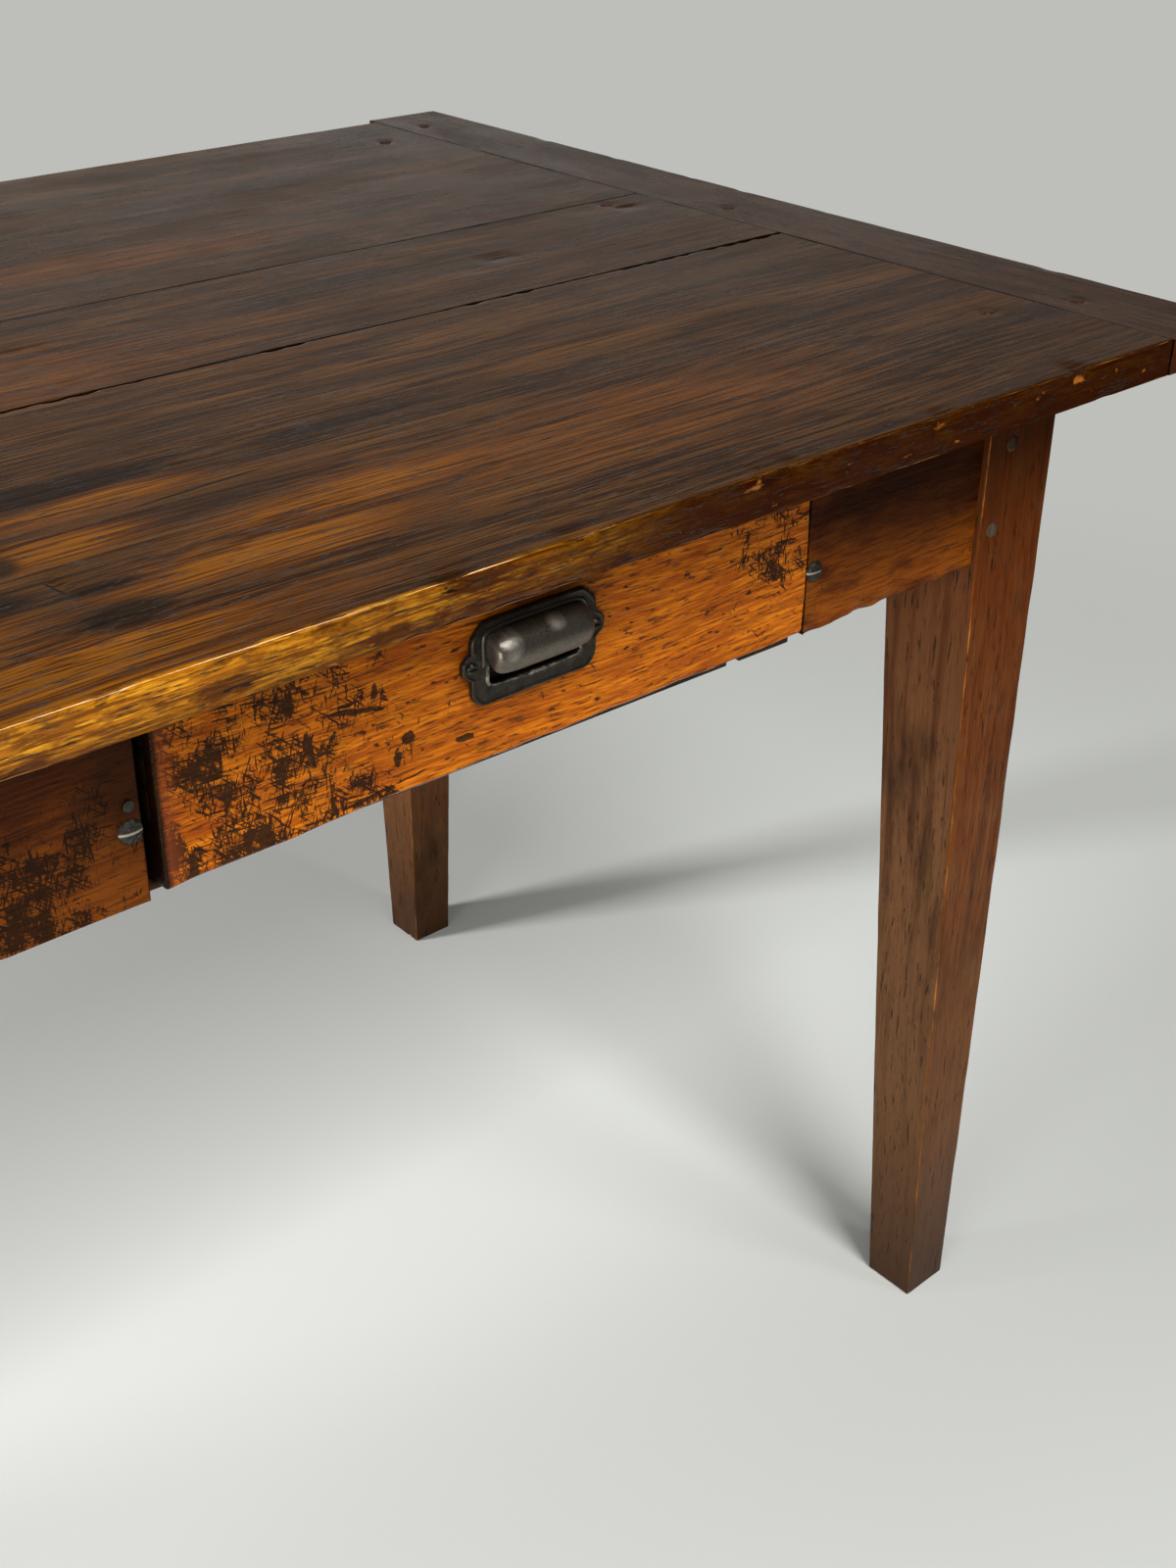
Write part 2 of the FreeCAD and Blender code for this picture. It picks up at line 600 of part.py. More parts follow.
def leg(label, sign_x, sign_y):
    """One leg with its mortises and peg holes."""
    body = piece(label)
    ys = corner_spans(sign_y, size.leg_depth)
    inner_y = ys[1] if sign_y < 0 else ys[0]
    xs = mirrored(sign_x, leg_inner_x, leg_x)
    grow(body, "z", taper_z, under_z, draw_rounded, xs, ys, size.leg_round)
    shoulder = sketch_at(body, "z", taper_z)
    draw_rounded(shoulder, xs, ys, size.leg_round)
    foot = sketch_at(body, "z", 0)
    foot_xs = mirrored(sign_x, leg_x - size.foot_width, leg_x)
    draw_rounded(foot, foot_xs, corner_spans(sign_y, size.foot_width), size.leg_round)
    taper = body.newObject("PartDesign::AdditiveLoft", "taper")
    taper.Profile = shoulder
    taper.Sections = [foot]
    taper.Ruled = True

    long_y = apron_front_y + tenon_inset if sign_y < 0 else apron_back_inner_y + tenon_inset
    carve_box(body, mirrored(sign_x, leg_inner_x, leg_inner_x + size.long_tenon + size.mortise_slack),
              (long_y, long_y + size.tenon_thickness), (tenon_low_z, tenon_high_z))
    end_x_span = mirrored(sign_x, apron_end_inner_x + tenon_inset, apron_end_x - tenon_inset)
    end_y_span = (inner_y, inner_y + (size.end_tenon + size.mortise_slack) * sign_y)
    carve_box(body, end_x_span, end_y_span, (tenon_low_z, tenon_high_z))
    for along in ("y", "x"):
        for span, centre in peg_places(sign_x, sign_y, along):
            carve_peg_hole(body, along, span, centre, size.leg_peg_diameter)
    top_peg_y = top_peg_ys[0] if sign_y < 0 else top_peg_ys[-1]
    carve_peg_hole(body, "z", top_peg_zs, (top_peg_x * sign_x, top_peg_y), size.top_peg_diameter)


corners = {"front_right": (1, -1), "front_left": (-1, -1), "back_right": (1, 1), "back_left": (-1, 1)}
for corner, signs in corners.items():
    leg(f"leg_{corner}", *signs)

group("leg_pegs", [
    peg("leg_peg", along, span, centre, size.leg_peg_diameter)
    for signs in corners.values() for along in ("y", "x") for span, centre in peg_places(*signs, along)])


# Aprons: boards tenoned into the legs
def long_apron(label, xs, ys, tenon_signs):
    """An apron along X, with a tenon and peg holes at each end that meets a leg."""
    body = piece(label)
    grow_box(body, xs, ys, (apron_z, under_z))
    round_edges(body, size.apron_round, lambda box: lies_at(box.ZMin, box.ZMax, apron_z)
                and box.XLength > size.apron_thickness.value)
    sign_y = -1 if ys[0].value < 0 else 1
    tenon_ys = (ys[0] + tenon_inset, ys[1] - tenon_inset)
    for sign in tenon_signs:
        tenon_xs = mirrored(sign, leg_inner_x, leg_inner_x + size.long_tenon)
        grow_box(body, tenon_xs, tenon_ys, (tenon_low_z, tenon_high_z))
        for _, centre in peg_places(sign, sign_y, "y"):
            carve_peg_hole(body, "y", tenon_ys, centre, size.leg_peg_diameter)
    return body


def end_apron(label, sign):
    """An apron along Y between two legs, with the hole of the board's peg in its top."""
    body = piece(label)
    inner_ys = (leg_front_y + size.leg_depth, leg_back_y - size.leg_depth)
    grow_box(body, mirrored(sign, apron_end_inner_x, apron_end_x), inner_ys, (apron_z, under_z))
    round_edges(body, size.apron_round, lambda box: lies_at(box.ZMin, box.ZMax, apron_z)
                and box.YLength > size.apron_thickness.value)
    tenon_xs = mirrored(sign, apron_end_inner_x + tenon_inset, apron_end_x - tenon_inset)
    tenon_spans = ((inner_ys[0] - size.end_tenon, inner_ys[0]), (inner_ys[1], inner_ys[1] + size.end_tenon))
    for sign_y, tenon_ys in zip((-1, 1), tenon_spans):
        grow_box(body, tenon_xs, tenon_ys, (tenon_low_z, tenon_high_z))
        for _, centre in peg_places(sign, sign_y, "x"):
            carve_peg_hole(body, "x", tenon_xs, centre, size.leg_peg_diameter)
    carve_peg_hole(body, "z", top_peg_zs, (top_peg_x * sign, top_peg_ys[1]), size.top_peg_diameter)


front_ys = (apron_front_y, apron_behind_y)
back_ys = (apron_back_inner_y, apron_back_y)
apron_right = long_apron("apron_front_right", (opening_right_x, leg_inner_x), front_ys, (1,))
apron_left = long_apron("apron_front_left", (-leg_inner_x, opening_left_x), front_ys, (-1,))
apron_back = long_apron("apron_back", (-leg_inner_x, leg_inner_x), back_ys, (1, -1))
end_apron("apron_end_right", 1)
end_apron("apron_end_left", -1)
for body, screw_x in ((apron_left, guide_screw_xs[0]), (apron_right, guide_screw_xs[1])):
    carve_hole(body, "y", front_ys, (screw_x, guide_screw_z), size.guide_screw_shank)
carve_hole(apron_left, "y", front_ys, (guide_screw_xs[0], nail_z), size.nail_shank)

# Drawer carcass: guides, runners, slat and stops
guide_zs = (rail_top_z, rail_top_z + size.guide_height)
guide_spans = {"right": (guide_right_x, guide_right_x + size.guide_width),
               "left": (guide_left_x - size.guide_width, guide_left_x)}
runner_spans = {"right": (guide_right_x - size.runner_width, guide_right_x),
                "left": (guide_left_x, guide_left_x + size.runner_width)}
guide_ys = (apron_behind_y, apron_back_inner_y + size.guide_housing)
screw_end_y = apron_front_y + size.guide_screw_length
for side, screw_x in zip(("left", "right"), guide_screw_xs):
    guide = piece(f"drawer_guide_{side}")
    grow_box(guide, guide_spans[side], guide_ys, guide_zs)
    carve_hole(guide, "y", (apron_behind_y, screw_end_y), (screw_x, guide_screw_z), size.guide_screw_shank)
    if side == "left":
        nail_end_y = apron_front_y + size.nail_length
        carve_hole(guide, "y", (apron_behind_y, nail_end_y), (screw_x, nail_z), size.nail_shank)
    carve_box(apron_back, guide_spans[side], (apron_back_inner_y, guide_ys[1]), guide_zs)
    runner = piece(f"drawer_runner_{side}")
    grow_box(runner, runner_spans[side], (apron_behind_y, apron_back_inner_y), (rail_top_z, runner_top_z))

rail = piece("drawer_rail")
rail_front_y = drawer_face_y + size.rail_setback
rail_back_y = rail_front_y + size.rail_depth
notch_x = opening_right_x - size.rail_notch_place
grow(rail, "z", rail_top_z - size.rail_thickness, rail_top_z, draw_polygon, (
    (guide_spans["left"][0], rail_back_y), (guide_spans["left"][0], apron_behind_y),
    (opening_left_x, apron_behind_y), (opening_left_x, rail_front_y),
    (notch_x - size.rail_notch_width, rail_front_y),
    (notch_x - size.rail_notch_width, rail_front_y + size.rail_notch_depth),
    (notch_x, rail_front_y + size.rail_notch_depth), (notch_x, rail_front_y),
    (opening_right_x, rail_front_y), (opening_right_x, apron_behind_y),
    (guide_spans["right"][1], apron_behind_y), (guide_spans["right"][1], rail_back_y)))

stops = []
for side, span in runner_spans.items():
    stop = doc.addObject("Part::Box", f"stop_{side}")
    stop.setExpression("Length", size.runner_width.text)
    stop.setExpression("Width", size.stop_length.text)
    stop.setExpression("Height", size.stop_height.text)
    for letter, place in zip("xyz", (span[0], drawer_end_y + size.running_gap, runner_top_z)):
        stop.setExpression(f"Placement.Base.{letter}", place.text)
    stops.append(stop)
group("drawer_stops", stops)

group("guide_screws", [
    slotted_screw(f"guide_screw_{side}", apron_front_y, (screw_x, guide_screw_z),
                  size.guide_screw_head, size.guide_screw_crown, size.guide_screw_rise,
                  size.guide_screw_shank, size.guide_screw_length)
    for side, screw_x in zip(("left", "right"), guide_screw_xs)])

nail = piece("guide_nail", "Part::Fuse")
nail.Base = rod("nail_stem", "y", (apron_front_y, apron_front_y + size.nail_length),
                (guide_screw_xs[0], nail_z), size.nail_shank)
nail.Tool = rod("nail_head", "y", (apron_front_y - size.nail_rise, apron_front_y),
                (guide_screw_xs[0], nail_z), size.nail_head)

# Drawer: dovetailed box with a lapped front
tail_low_z = bottom_high_z + size.tail_margin
tail_pitch = (back_high_z - size.tail_margin - tail_low_z) / TAIL_COUNT
tail_zs = [tail_low_z + tail_pitch * (number + 0.5) for number in range(TAIL_COUNT)]


def tail(root_y, end_y, middle_z):
    """A dovetail from its root to its wider end, from low to high."""
    return [(root_y, middle_z - size.tail_base / 2), (end_y, middle_z - size.tail_end / 2),
            (end_y, middle_z + size.tail_end / 2), (root_y, middle_z + size.tail_base / 2)]


front_tails = [tail(drawer_inner_y, drawer_inner_y - size.tail_length, middle) for middle in tail_zs]
back_tails = [tail(back_inner_y, drawer_end_y, middle) for middle in tail_zs]
side_outline = [(drawer_inner_y, side_low_z)]
for points in front_tails:
    side_outline += points
side_outline += [(drawer_inner_y, side_high_z), (back_inner_y, side_high_z)]
for points in reversed(back_tails):
    side_outline += reversed(points)
side_outline += [(back_inner_y, bottom_high_z), (drawer_end_y, bottom_high_z), (drawer_end_y, side_low_z)]

side_spans = {"right": (drawer_right_x - size.side_thickness, drawer_right_x),
              "left": (drawer_left_x, drawer_left_x + size.side_thickness)}
bottom_zs = (bottom_low_z, bottom_high_z)
groove_xs = (groove_left_x, groove_right_x)
for side, span in side_spans.items():
    board = piece(f"drawer_side_{side}")
    grow(board, "x", *span, draw_polygon, side_outline)
    groove_span = (groove_left_x, span[1]) if side == "left" else (span[0], groove_right_x)
    carve_box(board, groove_span, (drawer_inner_y, drawer_end_y), bottom_zs)

drawer_xs = (drawer_left_x, drawer_right_x)
front = piece("drawer_front")
grow_box(front, drawer_xs, (drawer_face_y, drawer_inner_y), (drawer_low_z, drawer_high_z))
round_edges(front, size.drawer_round, lambda box: lies_at(box.YMin, box.YMax, drawer_face_y))
carve_box(front, groove_xs, (drawer_inner_y - size.bottom_groove, drawer_inner_y), bottom_zs)
for span in side_spans.values():
    for points in front_tails:
        carve(front, "x", *span, draw_polygon, points)
for screw_x in pull_screw_xs:
    carve_hole(front, "y", (drawer_face_y, plate_face_y + size.pull_screw_length), (screw_x, pull_z),
               size.pull_screw_shank)

back = piece("drawer_back")
grow_box(back, drawer_xs, (back_inner_y, drawer_end_y), (bottom_high_z, back_high_z))
for span in side_spans.values():
    for points in back_tails:
        carve(back, "x", *span, draw_polygon, points)

bottom = piece("drawer_bottom")
grow_box(bottom, groove_xs, (drawer_inner_y - size.bottom_groove, drawer_end_y), bottom_zs)


# Pull: a plate with pointed ears and a hooded cup, open below
def draw_hood(sketch, radius, foot_y):
    """Section of the hood: an arc from the drawer face over to the lip, closed along foot_y and the lip."""
    reach = (radius.value ** 2 - size.cup_stand.value ** 2) ** 0.5
    drop = (radius.value ** 2 - size.cup_lip_drop.value ** 2) ** 0.5
    centre = FreeCAD.Vector(cup_y.value, cup_z.value, 0)
    crown = FreeCAD.Vector(foot_y.value, cup_z.value + reach, 0)
    lip = FreeCAD.Vector(cup_y.value - drop, lip_z.value, 0)
    foot = FreeCAD.Vector(foot_y.value, lip_z.value, 0)
    circle = Part.Circle(centre, FreeCAD.Vector(0, 0, 1), radius.value)
    arc = sketch.addGeometry(Part.ArcOfCircle(circle, circle.parameter(crown), circle.parameter(lip)))
    floor = sketch.addGeometry(Part.LineSegment(lip, foot))
    wall = sketch.addGeometry(Part.LineSegment(foot, crown))
    sketch.addConstraint(Sketcher.Constraint("Coincident", arc, Spot.END, floor, Spot.START))
    sketch.addConstraint(Sketcher.Constraint("Coincident", floor, Spot.END, wall, Spot.START))
    sketch.addConstraint(Sketcher.Constraint("Coincident", wall, Spot.END, arc, Spot.START))
    sketch.addConstraint(Sketcher.Constraint("Horizontal", floor))
    sketch.addConstraint(Sketcher.Constraint("Vertical", wall))
    bind_point(sketch, arc, Spot.CENTRE, (cup_y, cup_z))
    bind(sketch, "Radius", arc, radius)
    bind_point(sketch, floor, Spot.END, (foot_y, lip_z))


pull = piece("drawer_pull")
cup_xs = (pull_x - size.cup_width / 2, pull_x + size.cup_width / 2)
cavity_xs = (cup_xs[0] + size.cup_end_wall, cup_xs[1] - size.cup_end_wall)
grow(pull, "x", *cup_xs, draw_hood, size.cup_radius, drawer_face_y)
bevel_edges(pull, size.cup_end_bevel, lambda box: box.YLength > SAME and box.ZLength > SAME
            and (lies_at(box.XMin, box.XMax, cup_xs[0]) or lies_at(box.XMin, box.XMax, cup_xs[1])))

plate_ys = (plate_face_y, drawer_face_y)
half_width = size.plate_width / 2
half_height = size.plate_height / 2
ear_end = half_width + size.ear_reach
half_outline = ((half_width, -half_height), (half_width, -size.ear_root / 2), (ear_end, -size.ear_tip / 2),
                (ear_end, size.ear_tip / 2), (half_width, size.ear_root / 2),
                (half_width, half_height - size.plate_high_cut),
                (half_width - size.plate_high_cut, half_height))
outline = [(pull_x + across, pull_z + up) for across, up in half_outline]
outline += [(pull_x - across, pull_z + up) for across, up in reversed(half_outline)]
grow(pull, "y", *plate_ys, draw_polygon, outline)
low_edge = pull_z - half_height
round_edges(pull, size.plate_low_round, lambda box: lies_at(box.ZMin, box.ZMax, low_edge)
            and box.XLength < SAME)


def on_hood(place):
    """True where a place on the plate's front is a foot of the hood."""
    return (cup_xs[0].value < place.x < cup_xs[1].value
            and lip_z.value - SAME < place.z < cup_z.value + size.cup_radius.value)


bevel_edges(pull, size.plate_bevel,
            lambda box: lies_at(box.YMin, box.YMax, plate_face_y) and not on_hood(box.Center))
carve(pull, "x", *cavity_xs, draw_hood, size.cup_radius - size.cup_wall, drawer_face_y)
window_xs = (pull_x - size.window_width / 2, pull_x + size.window_width / 2)
carve_box(pull, window_xs, plate_ys, (pull_z - size.window_low, pull_z + size.window_high))
for screw_x in pull_screw_xs:
    carve_hole(pull, "y", plate_ys, (screw_x, pull_z), size.pull_screw_shank)

group("pull_screws", [
    slotted_screw(f"pull_screw_{side}", plate_face_y, (screw_x, pull_z),
                  size.pull_screw_head, size.pull_screw_crown, size.pull_screw_rise,
                  size.pull_screw_shank, size.pull_screw_length)
    for side, screw_x in zip(("left", "right"), pull_screw_xs)])

# Check and write
doc.recompute()
failed = [thing.Name for thing in doc.Objects if "Invalid" in thing.State or "Error" in thing.State]
failed += [thing.Label for thing in pieces if thing.Shape.isNull() or not thing.Shape.isValid()]
if failed:
    raise RuntimeError(f"not built: {failed}")
os.makedirs("parts", exist_ok=True)
for thing in pieces:
    thing.Shape.exportStep(f"parts/{thing.Label}.step")
print(len(pieces), "pieces written")
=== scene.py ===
import math
from functools import partial

import bpy
import numpy as np
from mathutils import Matrix, Vector


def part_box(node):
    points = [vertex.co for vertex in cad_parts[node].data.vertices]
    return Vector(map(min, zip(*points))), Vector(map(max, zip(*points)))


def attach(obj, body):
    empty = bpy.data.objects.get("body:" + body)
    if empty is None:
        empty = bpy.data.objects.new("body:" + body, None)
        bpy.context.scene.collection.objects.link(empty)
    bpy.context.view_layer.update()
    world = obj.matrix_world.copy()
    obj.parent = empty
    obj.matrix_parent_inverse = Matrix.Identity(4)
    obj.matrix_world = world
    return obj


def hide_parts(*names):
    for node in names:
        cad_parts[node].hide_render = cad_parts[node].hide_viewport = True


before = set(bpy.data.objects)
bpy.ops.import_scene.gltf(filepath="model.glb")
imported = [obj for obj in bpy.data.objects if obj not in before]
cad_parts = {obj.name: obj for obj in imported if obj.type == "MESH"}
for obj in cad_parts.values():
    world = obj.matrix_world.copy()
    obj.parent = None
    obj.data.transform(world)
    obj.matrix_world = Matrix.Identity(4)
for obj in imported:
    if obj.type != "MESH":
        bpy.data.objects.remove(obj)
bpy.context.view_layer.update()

# A millimetre in metres, a quarter turn, the angle from which an edge is sharp, and the table's two ends
MM = 0.001
QUARTER = math.pi / 2
SHARP_ANGLE = 1.0
SIDES = (-1, 1)
# Points that agree to this many digits of a metre are one
PLACE_DIGITS = 7
# Numbers that only scatter the corners of a noise's lattice
HASH_WAY = np.array([12.9898, 78.233, 37.719])
HASH_SEED = 4.137
HASH_SCALE = 43758.5453


# Shared helpers

def linear(code):
    """An sRGB hex colour as linear red, green and blue, by the sRGB curve, with a full alpha."""
    channels = np.array([int(code[at:at + 2], 16) for at in (1, 3, 5)]) / 255
    curve = ((channels + 0.055) / 1.055) ** 2.4
    return (*np.where(channels <= 0.04045, channels / 12.92, curve).tolist(), 1.0)


def box_mm(node):
    """The lowest and highest corner of a CAD node at rest, in mm."""
    return np.array(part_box(node)) / MM


def lattice_noise(points, cell, seed):
    """Smooth noise from -1 to 1: a hashed number at each corner of a lattice, blended by smooth steps."""
    scaled = points / cell
    base = np.floor(scaled)
    part = scaled - base
    blend = part * part * (3 - 2 * part)
    total = np.zeros(len(points))
    for corner in np.ndindex(2, 2, 2):
        phase = (base + corner) @ HASH_WAY + seed * HASH_SEED
        value = np.sin(phase) * HASH_SCALE
        share = np.where(np.array(corner, bool), blend, 1 - blend).prod(axis=1)
        total += share * (value - np.floor(value))
    return 2 * total - 1


def grid_quads(rows, columns, closed=False):
    """The quads of a grid of points, row after row, with the last column joined to the first if closed."""
    index = np.arange(rows * columns).reshape(rows, columns)
    if closed:
        index = np.hstack((index, index[:, :1]))
    corners = (index[:-1, :-1], index[1:, :-1], index[1:, 1:], index[:-1, 1:])
    return np.stack(corners, axis=-1).reshape(-1, 4)


def weld(points, quads):
    """Merge points that share a place. A quad with a side gone becomes a triangle, and a lesser one goes."""
    rounded = np.round(points, PLACE_DIGITS)
    kept, first, place = np.unique(rounded, axis=0, return_index=True, return_inverse=True)
    quads = place.ravel()[quads]
    same = quads == np.roll(quads, -1, axis=1)
    whole = quads[~same.any(axis=1)]
    pinched = quads[same.sum(axis=1) == 1]
    gone = same[same.sum(axis=1) == 1]
    return kept, [whole, pinched[~gone].reshape(-1, 3)], first


def new_piece(name, points, quads, body, slot, material, node, **marks):
    """A smooth welded mesh in place of a CAD node, from points in mm, with one number per point per mark."""
    points, groups, first = weld(points * MM, quads)
    sizes = np.concatenate([np.full(len(group), group.shape[1]) for group in groups])
    corners = np.concatenate([group.ravel() for group in groups])
    mesh = bpy.data.meshes.new(name)
    mesh.vertices.add(len(points))
    mesh.vertices.foreach_set("co", points.astype(np.float32).ravel())
    mesh.loops.add(len(corners))
    mesh.loops.foreach_set("vertex_index", corners.astype(np.int32))
    mesh.polygons.add(len(sizes))
    mesh.polygons.foreach_set("loop_start", (np.cumsum(sizes) - sizes).astype(np.int32))
    mesh.polygons.foreach_set("use_smooth", np.ones(len(sizes), bool))
    for mark, values in marks.items():
        layer = mesh.attributes.new(mark, "FLOAT", "POINT")
        layer.data.foreach_set("value", values[first].astype(np.float32))
    mesh.update(calc_edges=True)
    mesh.set_sharp_from_angle(angle=SHARP_ANGLE)
    mesh.materials.append(material)
    piece = bpy.data.objects.new(name, mesh)
    bpy.context.scene.collection.objects.link(piece)
    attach(piece, body)
    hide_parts(node)


def add(tree, kind, inputs=None, out=0, **settings):
    """Add one node with its settings. An input that is a socket is linked and any other is set."""
    node = tree.nodes.new("ShaderNode" + kind)
    for key, value in settings.items():
        setattr(node, key, value)
    for key, value in (inputs or {}).items():
        if isinstance(value, bpy.types.NodeSocket):
            tree.links.new(value, node.inputs[key])
        else:
            node.inputs[key].default_value = value
    return node.outputs[out] if node.outputs else None


def start_material(name):
    """An empty node material and the function that adds nodes to it."""
    material = bpy.data.materials.new(name)
    material.use_nodes = True
    material.node_tree.nodes.clear()
    return material, partial(add, material.node_tree)


COLOUR_MIX = {"out": 2, "data_type": "RGBA"}


def paint(put, colour, layers):
    """Lay colours one over another: each shows where its value goes from low to high, up to its most."""
    for code, value, low, high, most in layers:
        share = put("MapRange", {"Value": value, "From Min": low, "From Max": high, "To Max": most})
        colour = put("Mix", {0: share, 6: colour, 7: linear(code)}, **COLOUR_MIX)
    return colour


def spots(put, place, marks):
    """Soft spots at places in mm, each 1 in its middle and 0 past its three reaches, the strongest on top.

    A mark is a centre, three reaches and, where the spot lies askew, a turn about the three axes.
    """
    strongest = 0.0
    for centre, reach, *turn in marks:
        local = put("Mapping", {"Vector": place, "Location": centre, "Scale": reach,
                                "Rotation": turn[0] if turn else (0, 0, 0)}, vector_type="TEXTURE")
        far = put("VectorMath", {0: local}, out="Value", operation="LENGTH")
        near = put("MapRange", {"Value": far, "From Min": 1, "From Max": 0}, interpolation_type="SMOOTHSTEP")
        strongest = put("Math", {0: near, 1: strongest}, operation="MAXIMUM")
    return strongest


# Wood grain

# How far each figure of the wood runs with the grain and across it, in mm. Real fibres and pores are 0.1 to
# 0.3 mm wide, and are drawn 1 to 2 mm wide so that they show.
FIGURES = {
    "fibres": (90, 1.6), "short_fibres": (24, 1.4), "pores": (13, 1.2), "dashes": (24, 2.6),
    "ripple": (11, 4.5), "mottle": (45, 14), "streaks": (330, 7), "bands": (480, 32),
    "blotch": (150, 60), "long": (1000, 80),
}
# The slow bend of the grain: how far it runs with the grain and across it, and how far it moves it, in mm
BEND = (300, 60)
BEND_SHIFT = (20, 20, 20)
# How far apart in the noise two boards lie, in mm, so that no two look alike
PLANK_SHIFT = (731, 389, 547)
# Rings over the range of the long noise, the roughness of a polished corner, and two tints of old wax
RING_COUNT = 13
POLISHED = 0.2
AMBER_WAX = "#f4c894"
CLEAR_WAX = "#f6dcbc"


def wood_grain(put, axis):
    """The sockets of one board's figure: its place in mm, a noise for each figure, rings and worn corners.

    A slow noise bends the grain. Rings are the level lines of a long smooth noise, as on a flat sawn board.
    The mark arris is 1 on an open corner and -1 in a joint.
    """
    place = put("VectorMath", {0: put("TexCoord", out="Object"), "Scale": 1 / MM}, operation="SCALE")
    plank = put("Attribute", out="Fac", attribute_name="plank")
    shift = put("VectorMath", {0: PLANK_SHIFT, "Scale": plank}, operation="SCALE")
    own = put("VectorMath", {0: place, 1: shift}, operation="ADD")
    spread = [BEND[0] if letter == axis else BEND[1] for letter in "xyz"]
    slow = put("Mapping", {"Vector": own, "Scale": spread}, vector_type="TEXTURE")
    bend = put("TexNoise", {"Vector": slow, "Scale": 1, "Detail": 1}, out="Color")
    bent = put("VectorMath", {0: bend, 1: BEND_SHIFT, 2: own}, operation="MULTIPLY_ADD")
    grain = {letter: put("SeparateXYZ", {0: place}, out=letter) for letter in "XYZ"}
    grain["place"] = place
    for key, (along, across) in FIGURES.items():
        spread = [along if letter == axis else across for letter in "xyz"]
        mapped = put("Mapping", {"Vector": bent, "Scale": spread}, vector_type="TEXTURE")
        grain[key] = put("TexNoise", {"Vector": mapped, "Scale": 1, "Detail": 4, "Roughness": 0.6})
    level = put("Math", {0: grain["long"], 1: RING_COUNT * 2 * math.pi}, operation="MULTIPLY")
    grain["rings"] = put("Math", {0: level}, operation="SINE")
    grain["arris"] = put("Attribute", out="Fac", attribute_name="arris")
    grain["polish"] = grain["arris"]
    grain["rubbed"] = put("Math", {0: grain["arris"], 1: grain["mottle"]}, operation="MULTIPLY")
    grain["seam"] = put("Math", {0: grain["arris"], 1: -1.0}, operation="MULTIPLY")
    grain["pits"] = put("MapRange", {"Value": grain["pores"], "From Min": 0.6, "From Max": 0.75})
    grain["dents"] = put("MapRange", {"Value": grain["dashes"], "From Min": 0.63, "From Max": 0.68})
    return grain


def finish_wood(put, colour, grain, roughness, gloss, depths, wax=AMBER_WAX):
    """Waxed wood: its roughness follows the blotches, with polished corners, and its relief some figures.

    Each depth is the height in mm that a figure adds. Old wax is amber, and so are its reflections.
    """
    dull = put("MapRange", {"Value": grain["blotch"], "From Min": 0.3, "From Max": 0.7,
                            "To Min": roughness[0], "To Max": roughness[1]})
    rough = put("MapRange", {"Value": grain["polish"], "From Min": 0.3, "From Max": 0.8,
                             "To Min": dull, "To Max": POLISHED})
    height = 0.0
    for figure, depth in depths.items():
        height = put("Math", {0: grain[figure], 1: depth, 2: height}, operation="MULTIPLY_ADD")
    bump = put("Bump", {"Height": height, "Strength": 1.0, "Distance": MM})
    shader = put("BsdfPrincipled", {
        "Base Color": colour, "Roughness": rough, "Normal": bump, "Specular IOR Level": gloss,
        "Specular Tint": linear(wax)})
    put("OutputMaterial", {"Surface": shader})


# Length and width in mm and slant in radians of each kind of scored stroke, and the size of a film of wax
STROKES = ((17, 1.1, 0.1), (9, 1.0, 1.5), (8, 1.0, 1.95), (10, 1.0, 0.75))
FILM_SIZE = 24


def scored_marks(put, grain, zone, film):
    """Black wax where zone is high: strokes at several slants, and a film between them, of the given share.

    A stroke is a noise drawn out along its slant. It shows where it and a wider noise are high together.
    """
    place = grain["place"]
    cling = put("TexNoise", {"Vector": place, "Scale": 1 / FILM_SIZE, "Detail": 5, "Roughness": 0.6})
    lifted = put("Math", {0: zone, 1: 0.25, 2: cling}, operation="MULTIPLY_ADD")
    marks = put("MapRange", {"Value": lifted, "From Min": 0.79, "From Max": 0.84, "To Max": film})
    for along, across, slant in STROKES:
        mapped = put("Mapping", {"Vector": place, "Rotation": (0, slant, 0),
                                 "Scale": (along, across, across)}, vector_type="TEXTURE")
        stroke = put("TexNoise", {"Vector": mapped, "Scale": 1, "Detail": 2})
        total = put("Math", {0: lifted, 1: 0.9, 2: stroke}, operation="MULTIPLY_ADD")
        shown = put("MapRange", {"Value": total, "From Min": 1.24, "From Max": 1.28})
        marks = put("Math", {0: marks, 1: shown}, operation="MAXIMUM")
    return marks


# The faces of the top, its front edge and its front joint, and how deep a stain's spot reaches, in mm
TOP_LOW_Z, TOP_Z = box_mm("top_plank_front")[:, 2]
FRONT_Y, JOINT_Y = box_mm("top_plank_front")[:, 1]
STAIN_DEPTH = 60


def on_top(*stains):
    """Marks for spots on the face of the top, each from a place in X and Y, two reaches in mm and a turn."""
    return [((x, y, TOP_Z), (along, across, STAIN_DEPTH), (0, 0, turn))
            for x, y, along, across, turn in stains]


